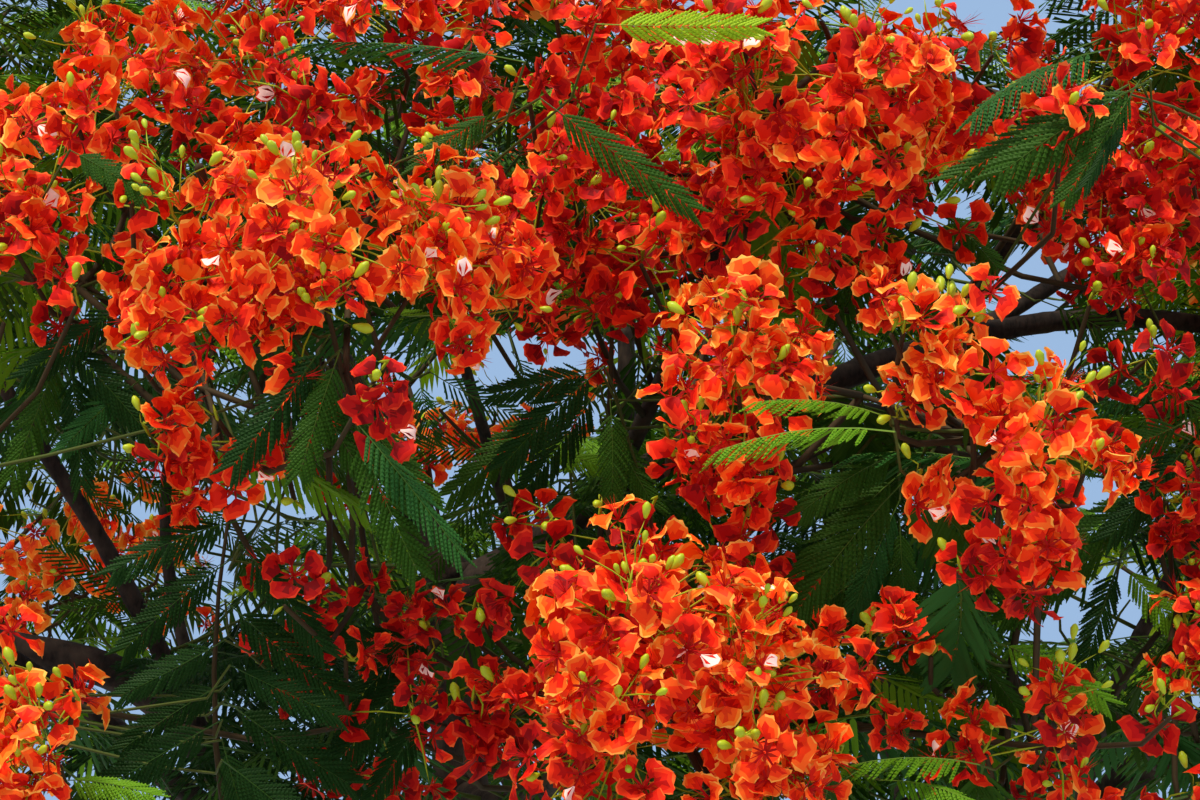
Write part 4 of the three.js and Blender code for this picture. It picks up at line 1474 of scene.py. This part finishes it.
@dataclass
class Crown:
    """The crown: every mass grown by the rule of the solids and carried on to leaves and flowers.

    Sizes are in metres, but view_margin is in pixels; near is a depth in the photograph's view. A head's
    pair is its radius and its count of flowers.
    """

    skeleton: Skeleton
    view: PhotoView
    twigs: int = 8
    tries: int = 4
    swing: float = 0.8
    reach: Triple = (0.73, 0.73, 0.5)
    star: float = 0.205
    margin: float = 0.04
    leaf_length: float = 0.42
    leaf_gap: float = 0.03
    neck: float = 0.1
    end_head: tuple[float, int] = (0.18, 26)
    shoot_head: tuple[float, int] = (0.15, 15)
    shoot_bloom: float = 0.7
    near: float = 7.0
    view_margin: float = 90.0
    starts: int = 90
    least_run: float = 0.12
    bow: float = 0.45
    length_cost: float = 2.0
    seed: int = 7
    heads: list[Head] = field(default_factory=list)
    leaves: list[LeafPlace] = field(default_factory=list)
    wood: list[tuple[Rows, Rows, int]] = field(default_factory=list)

    def __post_init__(self) -> None:
        """Reads the limbs and the room that the solids take."""
        self.chance = random.Random(self.seed)
        self.carriers = self.skeleton.carriers()
        self.centres = np.array([limb.centre for limb in self.carriers])
        self.bead_places, self.bead_radii = self.skeleton.beads()
        low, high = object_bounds()
        self.low = np.array(low) - self.margin
        self.high = np.array(high) + self.margin
        step = self.view.sensor / self.view.lens / self.view.width
        patches = [(w.across, w.down, w.radius, w.depth, w.leafy) for w in WINDOWS]
        self.leafy_patches = np.array(patches, float)
        self.open_patches = np.array([patch for patch in patches if not patch[4]], float)
        self.blocked = np.array(
            [(h.across, h.down, (h.radius + 0.03) / (h.depth * step), h.depth) for h in SEEN_HEADS])

    def in_room(self, points: Rows) -> Rows:
        """Tells which points stay in the room of the solids."""
        return np.all((points > self.low) & (points < self.high), axis=-1)

    def own_space(self, index: int, points: Rows, margin: float) -> bool:
        """Tells whether points lie nearer to a mass's centre than to any other's.

        Args:
            index: The number of the mass.
            points: Rows of points.
            margin: The least distance to the walls of its space.

        Returns:
            True if they all do.
        """
        own = self.centres[index]
        others = np.delete(self.centres, index, axis=0)
        out = unit(others - own)
        gaps = np.einsum("ij,pij->pi", out, points[:, None] - (others + own)[None] / 2)
        return bool(np.all(gaps < -margin))

    def off_limbs(self, points: Rows, margin: float) -> bool:
        """Tells whether points stay clear of every limb by a margin."""
        gaps = np.linalg.norm(points[:, None] - self.bead_places[None], axis=2)
        return bool(np.all(gaps > self.bead_radii + margin))

    def plan(self, index: int) -> Iterable[tuple[float, float, float, float, list]]:
        """Draws the twigs of a mass as the solids do.

        Args:
            index: The number of the mass.

        Yields:
            Each twig's lift, turn, reach, root and its blades' side, share, swing and rise.
        """
        draw = Draws(self.seed + index)
        for k in range(self.twigs):
            lift = 1 - (1.62 * (k + 0.5)) / self.twigs
            turn = k * GOLDEN + draw() * 0.9
            reach = 0.84 + 0.16 * draw()
            root = 0.97 - (0.66 * (k + 0.3 * draw())) / self.twigs
            draw()
            blades = [(side, 0.4 if side < 0 else 0.72, 0.6 + 0.8 * draw(), 0.1 + 0.3 * draw())
                      for side in (-1, 1)]
            yield lift, turn, reach, root, blades

    def fit(self, index: int, root: Rows, whole: Rows, facing: Rows) -> Rows | None:
        """Draws a twig's end back to the stem until its blossom has room.

        Args:
            index: The number of the mass.
            root: Where the twig leaves the stem.
            whole: The full way from the mass's centre to the twig's end.
            facing: The way its blossom faces.

        Returns:
            The twig's end, or None where there is no room.
        """
        angles = circle(10)
        side = unit(np.cross(facing, UP) + 1e-6)
        other = np.cross(facing, side)
        ring = (np.cos(angles)[:, None] * side + np.sin(angles)[:, None] * other) * self.star * 0.8
        for share in np.arange(1.0, 0.4, -0.05):
            end = self.centres[index] + whole * share
            run = root + (end - root) * np.linspace(0.15, 0.9, 6)[:, None]
            if (self.own_space(index, end + ring, 0.004) and self.own_space(index, run, 0.013)
                    and self.off_limbs(end + ring, 0.006) and self.off_limbs(run, 0.015)):
                return end
        return None

    def bowed(self, start: Rows, via: Rows, end: Rows, shares: Rows) -> Rows:
        """Gives points on the bow from one place to another that leaves and arrives by way of a third."""
        return (1 - shares) ** 2 * start + 2 * shares * (1 - shares) * via + shares**2 * end

    def add_twig(self, start: Rows, end: Rows, radii: Pair, sides: int,
                 sag: float = 0.06, via: Rows | None = None) -> Rows:
        """Adds a bent twig.

        Args:
            start: Where it starts.
            end: Where it ends.
            radii: Its radius at both.
            sides: How many sides it has.
            sag: How far its middle hangs, as a share of its length.
            via: The place by way of which it bows, or None for a straighter one.

        Returns:
            The points along it.
        """
        length = float(np.linalg.norm(end - start))
        wander = np.array([self.chance.uniform(-0.07, 0.07) for _ in range(3)]) * length
        shares = np.linspace(0, 1, 5 if sides > 3 else 3)[:, None]
        bulge = 4 * shares * (1 - shares)
        points = self.bowed(start, (start + end) / 2 if via is None else via, end, shares)
        points = points + (wander - UP * sag * length) * bulge
        self.wood.append((points, np.linspace(*radii, len(points)), sides))
        return points

    def green_at(self, place: Rows) -> Green:
        """Picks a leaf's shade: fresher near the crown's skin and darker inside, partly by age and partly as
        painted shade; bluish ones are a painted tint of skylight.

        Args:
            place: Where the leaf grows.

        Returns:
            The shade.
        """
        outer = (place[2] - 3.3) / 2.2 + math.hypot(place[0], place[1]) / 6
        roll = self.chance.random() + 0.35 * (outer - 0.6)
        if roll > 1.02:
            return Green.FRESH
        if roll > 0.72:
            return Green.GRASS
        return Green.DEEP if roll > 0.25 else Green.BLUISH

    def within(self, places: Rows, circles: Rows, extra: float = 0.0) -> Rows:
        """Tells which places stand before round patches of the photograph.

        Args:
            places: Rows of places.
            circles: Rows of the patches' places in pixels, their radii and their depths.
            extra: How much wider the patches are taken, in metres.

        Returns:
            True for each place that stands before any of them.
        """
        found = self.view.seen(places)[:, None]
        wider = extra * self.view.lens * self.view.width / self.view.sensor / found[..., 2]
        gaps = np.hypot(found[..., 0] - circles[:, 0], found[..., 1] - circles[:, 1]) - wider
        return np.any((gaps < circles[:, 2]) & (found[..., 2] < circles[:, 3]), axis=1)

    def hidden(self, places: Rows, extra: float = 0.0) -> int:
        """Counts the places that stand before a window, taken wider, or a head that the photograph shows."""
        shut = self.within(places, self.open_patches, extra) | self.within(places, self.blocked)
        return int(np.sum(shut))

    def leaf_for(self, root: Rows, heading: Rows, length: float,
                 green: Green | None) -> LeafPlace | None:
        """Finds room for a leaf, shortened until it stays in the room of the solids.

        Args:
            root: Where it grows.
            heading: The way it points.
            length: Its length.
            green: Its shade, or None for one by its place.

        Returns:
            The leaf, or None where it would leave the room or hide what the photograph shows.
        """
        heading = unit(heading)
        lean = np.array([self.chance.uniform(-0.3, 0.3) for _ in range(3)])
        green = green or self.green_at(root)
        shares = np.linspace(0.1, 1, 5)[:, None]
        for scale in (1.0, 0.8, 0.6):
            run = root + heading * length * scale * shares - UP * 0.2 * length * scale * shares**2
            if self.in_room(run).all():
                found = LeafPlace(root, heading, UP + lean, length * scale, green)
                return None if self.hidden(run, self.leaf_gap) else found
        return None

    def spray(self, root: Rows, turn: float, rise: float, count: int, fan: float,
              green: Green | None = None) -> list[LeafPlace]:
        """Finds leaves that fan out from one point.

        Args:
            root: Where they grow.
            turn: The middle of the fan, as an angle about the upright.
            rise: How far they rise.
            count: How many there are.
            fan: The angle between two.
            green: Their shade, or None for one by their place.

        Returns:
            Those that have room.
        """
        found = []
        for k in range(count):
            angle = turn + (k - (count - 1) / 2) * fan + self.chance.uniform(-0.2, 0.2)
            lift = rise + self.chance.uniform(-0.25, 0.25)
            heading = np.array((math.cos(angle), math.sin(angle), lift))
            length = self.leaf_length * self.chance.uniform(0.8, 1.1)
            found.append(self.leaf_for(root, heading, length, green))
        return [leaf for leaf in found if leaf]

    def grow_mass(self, index: int) -> None:
        """Grows one mass.

        Args:
            index: Its number.
        """
        limb = self.carriers[index]
        centre = self.centres[index]
        tip = limb.curve.at([1.0])[0]
        outward = unit(np.array((centre[0], centre[1], 0.0)))
        stem = self.add_twig(tip, centre, (limb.radii[1], limb.radii[1] * 0.55), 7, 0.0)
        for lift, turn, reach, share, blades in self.plan(index):
            root = stem[0] + (stem[-1] - stem[0]) * share
            level = math.sqrt(1 - lift * lift)
            for tried in range(self.tries):
                angle = turn + tried * self.swing
                heading = np.array((level * math.cos(angle), level * math.sin(angle), lift))
                facing = unit(heading + outward * 0.35 + UP * 0.45)
                end = self.fit(index, root, heading * self.reach * reach, facing)
                if end is not None:
                    self.dress_twig(root, end, angle, facing, blades)
                    break

    def dress_twig(self, root: Rows, end: Rows, turn: float, facing: Rows,
                   blades: Sequence[tuple[int, float, float, float]]) -> None:
        """Adds a twig with its head, its leaves and its side shoots.

        Args:
            root: Where it leaves the stem.
            end: The middle of its blossom.
            turn: Its angle about the upright.
            facing: The way its blossom faces.
            blades: The side, share, swing and rise of each leafy shoot.
        """
        base = end - facing * self.neck
        if self.hidden(root + (base - root) * np.linspace(0.3, 1, 5)[:, None]):
            return
        blooms = not self.hides_photo(end, 0.2)
        leaves = self.spray(base, turn, 0.05, 5, 1.2)
        shoots, heads = [], []
        for side, share, swing, rise in blades:
            start = root + (base - root) * share
            angle = turn + side * swing
            way = unit(np.array((math.cos(angle), math.sin(angle), rise)))
            tip = start + way * self.chance.uniform(0.1, 0.2)
            grown = self.spray(tip, angle, rise, 4, 0.6)
            if grown and not self.hidden(tip[None]):
                shoots.append((start, tip))
                leaves += grown
                if self.chance.random() < self.shoot_bloom and not self.hides_photo(tip, self.shoot_head[0]):
                    heads.append(self.rule_head(tip, unit(way + UP * 0.5), *self.shoot_head))
        if not blooms and not leaves:
            return
        self.add_twig(root, base, (8 * MM, 4.5 * MM), 5)
        for start, tip in shoots:
            self.add_twig(start, tip, (4 * MM, 2.5 * MM), 3, 0.0)
        self.leaves += leaves
        self.heads += heads
        if blooms:
            self.heads.append(self.rule_head(base, facing, *self.end_head))

    def rule_head(self, base: Rows, facing: Rows, radius: float, count: int) -> Head:
        """Makes a head of about a size, with a shade picked by chance.

        Args:
            base: Where its flower stalks meet.
            facing: The way it faces.
            radius: About how large it is.
            count: About how many flowers it has.

        Returns:
            The head.
        """
        tone = self.chance.choices((BRIGHT, RED, DARK), (0.35, 0.45, 0.2))[0]
        scale = self.chance.uniform(0.9, 1.1)
        while not self.in_room(base + facing * (radius * scale + 0.01)) and scale > 0.55:
            scale -= 0.05
        seed = self.chance.randrange(10**6)
        return Head(base, facing, radius * scale, round(count * scale), tone, seed=seed)

    def hides_photo(self, place: Rows, radius: float) -> bool:
        """Tells whether a head would stand in the near part of the view, which is grown as it shows.

        Args:
            place: The head's middle.
            radius: Its radius.

        Returns:
            True if it would, or if it would stand before a window.
        """
        across, down, depth = self.view.seen(place)[0]
        if not self.view.shows(across, down, self.view_margin):
            return False
        return depth < self.near or bool(self.within(place[None], self.leafy_patches, 0.6 * radius)[0])

    def carry(self, place: Rows, way: Rows, radii: Pair) -> Rows:
        """Adds a twig to a place from near wood, from where it hides least of what the photograph shows.

        Args:
            place: Where the new twig ends.
            way: The way it points there.
            radii: Its radius at both ends.

        Returns:
            The points along it.
        """
        away = np.linalg.norm(self.joints - place, axis=1)
        nearest = np.argsort(away + np.where(away < self.least_run, 9.0, 0.0))[: self.starts]
        shares = np.linspace(0, 0.85, 7)[:, None]
        best = None
        for k in nearest:
            start, via = self.joints[k], place - way * self.bow * away[k]
            cost = self.hidden(self.bowed(start, via, place, shares)) + self.length_cost * away[k]
            if best is None or cost < best[0]:
                best = cost, start, via
        return self.add_twig(best[1], place, radii, 5, via=best[2])

    def grow_seen(self) -> None:
        """Grows the heads and leaves that the photograph shows, each on a twig from the nearest wood."""
        self.joints = np.concatenate([*(points[1:] for points, _, _ in self.wood), self.bead_places[::2]])
        nearer = -self.view.axes()[0]
        for seen in SEEN_HEADS:
            self.chance.seed(seen.seed())
            axis = unit(np.array(seen.axis))
            centre = self.view.at(seen.across, seen.down, seen.depth)
            base = centre - axis * seen.radius * 0.45
            self.carry(base, axis, (7 * MM, 4 * MM))
            self.heads.append(Head(base, axis, seen.radius, seen.count, seen.tone, Detail.CLOSE,
                                   seen.spread, seen.buds, seen.seed()))
            self.leaves += self.spray(base, self.chance.uniform(0, 6.3), -0.1, 4, 1.57)
        for seen in SEEN_SPRAYS:
            self.chance.seed(seen.seed())
            place = self.view.at(seen.across, seen.down, seen.depth)
            self.carry(place, nearer, (5 * MM, 2.5 * MM))
            self.leaves += self.spray(place, self.chance.uniform(0, 6.3), 0.0, 6, 1.05, seen.green)
        for start, end, depth in SEEN_TWIGS:
            foot = self.view.at(*start, depth)
            self.carry(foot, nearer, (8 * MM, 6 * MM))
            self.add_twig(foot, self.view.at(*end, depth), (6 * MM, 3 * MM), 5, 0.0)
        for seen in SEEN_LEAVES:
            foot = self.view.at(*seen.foot, seen.depth)
            tip = self.view.at(*seen.tip, seen.depth - 0.1)
            self.carry(foot, nearer, (3.5 * MM, 2 * MM))
            run = tip - foot
            top = UP * (1 - seen.tilt) + nearer * seen.tilt
            length = float(np.linalg.norm(run))
            heading = run + unit(top) * 0.14 * length
            self.leaves.append(LeafPlace(foot, heading, top, length * 1.04, seen.green, seen.width))

    def grow(self) -> None:
        """Grows the whole crown."""
        for index in range(len(self.carriers)):
            self.grow_mass(index)
        self.grow_seen()
        LOG.info("crown: %d heads, %d leaves, %d twigs", len(self.heads), len(self.leaves), len(self.wood))


@dataclass
class Dressing:
    """Turns the grown crown into pieces: flowers, stalks, buds, leaves and twigs, each kind apart.

    Sizes are in metres, but view_margin is in pixels; close and middle are the depths in the photograph's
    view up to which leaves are drawn so finely.
    """

    crown: Crown
    masses: list[str]
    young: float = 5.5 * MM
    ruffle: float = 7 * MM
    grain: float = 26 * MM
    rachis: float = 3.2 * MM
    flower_stalk: float = 1.8 * MM
    bud_stalk: float = 1.4 * MM
    close: float = 6.5
    middle: float = 8.2
    view_margin: float = 120.0
    flagged: float = 0.06
    flower: Flower = field(default_factory=Flower)
    leaf: Leaf = field(default_factory=Leaf)

    # A stalk's radius, and a bud's height and radius ring by ring, where each is one metre long.
    STALK = 0.022
    BUD = ((0.0, 0.0), (0.06, 0.09), (0.34, 0.2), (0.68, 0.255), (0.92, 0.13), (1.0, 0.0))

    def finishes(self) -> None:
        """Makes the finishes of flowers, leaves and twigs."""
        # Petal: thin living tissue of the flame tree, crinkled as it unfolds. Its scarlet blade pales to
        # orange at the rim; it has a soft sheen.
        # Its brighter orange copies are painted sunlight and its deep red one partly painted shade; the
        # sunlight that comes through it is a painted glow, so it is never quite dark.
        shades = {
            Tone.GOLDEN: ("#e6380a", "#fa5410", "#ff7c20", "#ffb24c"),
            Tone.SUNLIT: ("#d81e06", "#f5380c", "#fe601a", "#ff9c3e"),
            Tone.SCARLET: ("#b40d07", "#dc1e0a", "#f03412", "#fa682a"),
            Tone.CRIMSON: ("#7e060a", "#ac0a0b", "#c01a0e", "#dc3a1a"),
        }
        # Claw, flag patch, sepal and stamen: the same tissue, narrow and dull; the patch is rosy white. Each
        # has a faint painted glow, the patch a stronger one.
        claw = PlainFinish("petal_claw_red", "#a81010", 0.6, 0.1, 0.05).material()
        patch = PlainFinish("flag_petal_pale", "#fcd6c8", 0.6, 0.1, 0.15).material()
        sepal = PlainFinish("sepal_red", "#c22812", 0.6, 0.1, 0.05).material()
        stamen = PlainFinish("stamen_red", "#c01410", 0.5, 0.1, 0.05).material()
        self.petals = {}
        for tone, colours in shades.items():
            bands = [PlainFinish(f"petal_{band}_{tone.value}", colour, 0.6, 0.1, 0.1).material()
                     for band, colour in zip(("heart", "blade", "edge", "rim"), colours)]
            self.petals[tone] = [claw, *bands, patch, sepal, stamen]
        # Leaflet: a small thin blade with a dull waxed skin and a faint painted glow. It is yellow-green
        # while young and deep green later;
        # its bluish green is a painted tint of skylight, and its nearly black-green low inside the crown is
        # painted shade.
        greens = {Green.FRESH: ("#9cbb1c", "#7f9a2a"), Green.GRASS: ("#649418", "#6d8c2e"),
                  Green.DEEP: ("#2e510b", "#4c6a22"), Green.BLUISH: ("#2c5c22", "#4c6a22"),
                  Green.SHADED: ("#17380a", "#305018")}
        self.greens = {
            green: [PlainFinish(f"leaflet_{green.value}", blade, 0.6, 0.12, 0.03).material(),
                    PlainFinish(f"leaf_rib_{green.value}", rib).material()]
            for green, (blade, rib) in greens.items()
        }
        # Flower stalk: a smooth yellow-green shoot. Bud: five smooth sepals closed like an egg, slightly
        # shiny, so each shows a small soft highlight, with a faint painted glow.
        self.stalk = PlainFinish("flower_stalk_green", "#a2ae1e").material()
        self.bud = PlainFinish("bud_green", "#b2c01e", 0.4, 0.35, 0.05).material()
        # Twig: thin brown bark, dull; a first-year shoot is still green. Their grain is too fine to show.
        self.twig = PlainFinish("twig_bark_brown", "#40341f", 0.8).material()
        self.shoot = PlainFinish("young_shoot_green", "#4a5620", 0.7).material()

    def lathed(self, name: str, profile: Sequence[Triple], sides: int) -> Mesh:
        """Makes a closed round shape along Z.

        Args:
            name: The mesh's name.
            profile: The height, radius and sideways shift of each ring; the first and last are points.
            sides: How many sides it has.

        Returns:
            The mesh.
        """
        angles = circle(sides)
        rings = [(r * math.cos(a) + shift, r * math.sin(a), z)
                 for z, r, shift in profile[1:-1] for a in angles]
        ends = [(shift, 0.0, z) for z, _, shift in (profile[0], profile[-1])]
        rows, count = len(profile) - 2, len(rings)
        faces = ring_faces(rows, sides)
        for k in range(sides):
            after = (k + 1) % sides
            faces += [(count, after, k), (count + 1, count - sides + k, count - sides + after)]
        draft = Draft()
        draft.add(np.array(rings + ends), faces)
        return draft.mesh(name)

    def stalk_mesh(self, bends: int) -> Mesh:
        """Makes a thin flower stalk of unit length along Z, bent where it has more than one ring."""
        rings = [((k + 1) / (bends + 1), self.STALK, 0.13 if bends > 1 and k == 1 else 0.07)
                 for k in range(bends)]
        return self.lathed("stalk", [(0.0, 0.0, 0.0), *rings, (1.0, 0.0, 0.0)], 3)

    def bud_mesh(self, sides: int) -> Mesh:
        """Makes an egg-shaped bud of unit length along Z, on a short neck."""
        rings = self.BUD if sides > 4 else self.BUD[::2] + self.BUD[-1:]
        return self.lathed("bud", [(z, r, 0.0) for z, r in rings], sides)

    def petal_tones(self, head: Head, lift: Rows, chance: random.Random) -> list[Tone]:
        """Deals shades out in a head: its own shade mostly, with painted light: brighter tones on flowers
        that face up and deeper ones on flowers that face down.

        Args:
            head: The head.
            lift: How far up each flower faces, from -1 to 1.
            chance: The source of the differences.

        Returns:
            The shade of each petal, five for each flower.
        """
        order = [Tone.CRIMSON, Tone.SCARLET, Tone.SUNLIT, Tone.GOLDEN]
        own = order.index(head.tone)
        picked = []
        for value in lift:
            shift = value * 0.7 + chance.uniform(-0.75, 0.75)
            for _ in range(self.flower.PETALS):
                varied = shift + chance.uniform(-0.3, 0.3)
                picked.append(order[min(3, max(0, own + (varied > 0.55) - (varied < -0.5)))])
        return picked

    def around(self, axis: Rows, tilt: Rows, spin: Rows) -> Rows:
        """Finds rows of directions that lean from an axis by a tilt, at an angle about it."""
        axes = np.repeat(unit(axis)[None], len(tilt), axis=0)
        return np.cos(tilt)[:, None] * axes + np.sin(tilt)[:, None] * ring_about(axes, spin)

    def add_stalks(self, stalks: Scatter, roots: Rows, ends: Rows, radius: float,
                   rng: np.random.Generator, straight: bool = False) -> None:
        """Adds bent stalks from roots to ends.

        Args:
            stalks: The scatter that takes them.
            roots: Rows of places where they start.
            ends: Rows of places where they end.
            radius: Their radius, in metres.
            rng: The source of their spin.
            straight: Whether they are too far away for their bend to show.
        """
        runs = ends - roots
        lengths = np.linalg.norm(runs, axis=1)
        slim = np.full(len(runs), radius / self.STALK)
        stalks.add(roots, faced(runs, rng.uniform(0, 6.28, len(runs))),
                   np.stack((slim, slim, lengths), axis=1), np.full(len(runs), straight))

    def sprigs(self, head: Head, stalks: Scatter, buds: Scatter, rng: np.random.Generator) -> None:
        """Adds a head's rachis and its buds, on stalks that leave it in turn towards its tip.

        Args:
            head: The head.
            stalks: The scatter that takes the stalks.
            buds: The scatter that takes the buds.
            rng: The source of their differences.
        """
        count = head.buds
        rachis = head.axis * head.radius * 0.95
        self.add_stalks(stalks, head.base[None], head.base[None] + rachis, self.rachis, rng)
        shares = rng.uniform(0.45, 1.0, count)
        roots = head.base + rachis * shares[:, None]
        tilt = np.radians(rng.uniform(10, 80, count))
        ways = self.around(head.axis, tilt, rng.uniform(0, 6.28, count))
        tips = roots + ways * (head.radius * rng.uniform(0.25, 0.5, count))[:, None]
        clear = self.crown.in_room(tips)
        self.add_stalks(stalks, roots[clear], tips[clear], self.bud_stalk, rng)
        sizes = rng.uniform(19 * MM, 35 * MM, count)[clear]
        buds.add(tips[clear], faced(unit(ways + UP * 0.3)[clear], np.zeros(clear.sum())), sizes,
                 np.full(len(sizes), head.detail is Detail.FAR))

    def flowers(self) -> None:
        """Sets every head's flowers, buds and stalks."""
        flower, near = self.flower, (Detail.CLOSE, Detail.FAR)
        blooms = {
            (tone, detail): Scatter(
                f"blossom_{tone.value}_{detail.value}", flower.petals(detail, 5), self.petals[tone],
                self.ruffle, self.grain)
            for tone in Tone for detail in near
        }
        middles = {
            detail: Scatter(f"flower_middles_{detail.value}", flower.centres(detail, 6),
                            self.petals[Tone.CRIMSON])
            for detail in near
        }
        stalks = Scatter("flower_stalks", [self.stalk_mesh(3), self.stalk_mesh(1)], [self.stalk])
        buds = Scatter("buds", [self.bud_mesh(7), self.bud_mesh(4)], [self.bud])
        for head in self.crown.heads:
            chance, rng = random.Random(head.seed), np.random.default_rng(head.seed)
            total = head.count
            order = (np.arange(total) + 0.5) / total
            tilt = np.arccos(1 - (1 - math.cos(math.radians(head.spread))) * order)
            spin = np.arange(total) * GOLDEN + rng.uniform(-0.3, 0.3, total)
            ways = self.around(head.axis, tilt, spin)
            places = head.base + ways * (head.radius * rng.uniform(0.66, 1.08, total))[:, None]
            facing = unit(ways + rng.uniform(-0.7, 0.7, (total, 3)) * head.spread / 110 + UP * 0.12)
            roots = head.base + head.axis * (rng.uniform(-0.05, 0.5, total) * head.radius)[:, None]
            shown = ~self.crown.within(places, self.crown.leafy_patches, 0.01)
            places, facing, roots = places[shown], facing[shown], roots[shown]
            total = len(places)
            far = head.detail is Detail.FAR
            self.add_stalks(stalks, roots, places - facing * 2 * MM, self.flower_stalk, rng, far)
            self.sprigs(head, stalks, buds, rng)
            sizes = rng.uniform(0.84, 1.06, total)
            middles[head.detail].add(places, faced(facing, rng.uniform(0, 6.28, total)), sizes,
                                     rng.integers(0, flower.MIDDLES, total))
            kinds = rng.integers(0, flower.plain, (total, flower.PETALS))
            flagged = rng.random(total) < self.flagged
            kinds[flagged, 0] = flower.plain + rng.integers(0, flower.patched, int(flagged.sum()))
            tones = self.petal_tones(head, facing[:, 2], chance)
            turns = flower.petal_turns(facing, rng)
            places, sizes = np.repeat(places, flower.PETALS, axis=0), np.repeat(sizes, flower.PETALS)
            for tone in Tone:
                chosen = np.array([picked is tone for picked in tones], bool)
                blooms[(tone, head.detail)].add(
                    places[chosen], turns[chosen], sizes[chosen] * rng.uniform(0.88, 1.06, chosen.sum()),
                    kinds.ravel()[chosen])
        for scatter in (*blooms.values(), *middles.values(), stalks, buds):
            scatter.build(self.masses)

    def foliage(self) -> None:
        """Sets every leaf, finer the nearer it grows to the photograph's camera."""
        combs = {
            (green, detail): Scatter(
                f"leaves_{green.value}_{detail.value}", self.leaf.variants(detail, 8), self.greens[green])
            for green in Green for detail in Detail
        }
        for leaf in self.crown.leaves:
            across, down, depth = self.crown.view.seen(leaf.root + leaf.heading * 0.2)[0]
            detail = Detail.FAR
            if depth < self.middle and self.crown.view.shows(across, down, self.view_margin):
                detail = Detail.CLOSE if depth < self.close else Detail.MIDDLE
            turn = turns_of(leaf.heading[None], leaf.top[None])
            size = np.array([[1.0, leaf.width, leaf.width]]) * leaf.length
            kind = int(abs(leaf.root[0]) / MM) % self.leaf.KINDS
            combs[(leaf.green, detail)].add(leaf.root[None], turn, size, np.array([kind]))
        for scatter in combs.values():
            scatter.build(self.masses)

    def twigs(self) -> None:
        """Joins the twigs into one piece."""
        draft = Draft()
        for points, radii, sides in self.crown.wood:
            add_tube(draft, points, radii, sides, int(radii[0] < self.young))
        mesh = draft.mesh("twigs")
        for finish in (self.twig, self.shoot):
            mesh.materials.append(finish)
        mesh.polygons.foreach_set("material_index", draft.zones)
        place_piece(mesh, "foliage", self.masses)

    def build(self) -> None:
        """Makes all the pieces of the crown."""
        self.finishes()
        self.twigs()
        self.flowers()
        self.foliage()


@dataclass(frozen=True)
class Studio:
    """A plain pale floor, a pale sky-like surround and soft lights."""

    floor_size: float = 600.0
    floor_colour: str = "#b4b3af"
    surround: str = "#a9caf2"
    strength: float = 0.84

    def build(self) -> None:
        """Sets up the floor, the surround and the lights."""
        scene = bpy.context.scene
        half = self.floor_size / 2
        mesh = bpy.data.meshes.new("floor")
        mesh.from_pydata([(-half, -half, 0), (half, -half, 0), (half, half, 0), (-half, half, 0)], [],
                         [(0, 1, 2, 3)])
        mesh.materials.append(PlainFinish("floor_pale", self.floor_colour, 0.9, 0.2).material())
        floor = bpy.data.objects.new("floor", mesh)
        scene.collection.objects.link(floor)
        floor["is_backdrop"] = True
        world = bpy.data.worlds.new("surround")
        world.use_nodes = True
        sky = world.node_tree.nodes["Background"]
        sky.inputs["Color"].default_value = linear(self.surround)
        sky.inputs["Strength"].default_value = self.strength
        scene.world = world
        self.lamp("key_lamp", (-0.3, -0.62, 0.95), 14.0, 4.2, "#fff2df")
        self.lamp("back_lamp", (0.5, 0.8, 0.6), 40.0, 0.9, "#f3f6ff")
        scene.view_settings.view_transform = "Standard"

    def lamp(self, name: str, way: Triple, width: float, power: float,
             colour: str) -> None:
        """Adds a broad lamp that is so far away that it lights everything evenly.

        Args:
            name: Its name.
            way: The direction to it.
            width: How broad it looks, in degrees.
            power: Its power, in watts per square metre.
            colour: Its colour.
        """
        data = bpy.data.lights.new(name, "SUN")
        data.angle = math.radians(width)
        data.energy = power
        data.color = linear(colour)[:3]
        lamp = bpy.data.objects.new(name, data)
        lamp.rotation_euler = Vector(way).to_track_quat("Z", "Y").to_euler()
        bpy.context.scene.collection.objects.link(lamp)


def main() -> None:
    """Builds the tree and its studio."""
    logging.basicConfig(level=logging.INFO, format="%(message)s")
    solid_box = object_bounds()
    view = PhotoView()
    view.make_camera()
    skeleton = Skeleton()
    skeleton.build()
    masses = [name for name in frame["nodes"] if name.startswith("mass_")]
    crown = Crown(skeleton, view)
    crown.grow()
    Bark(skeleton).build()
    Dressing(crown, masses).build()
    Studio().build()
    dressed_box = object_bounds()
    sizes = [[list(corner) for corner in box] for box in (solid_box, dressed_box)]
    LOG.info("sizes: %s", sizes)


if __name__ == "__main__":
    main()
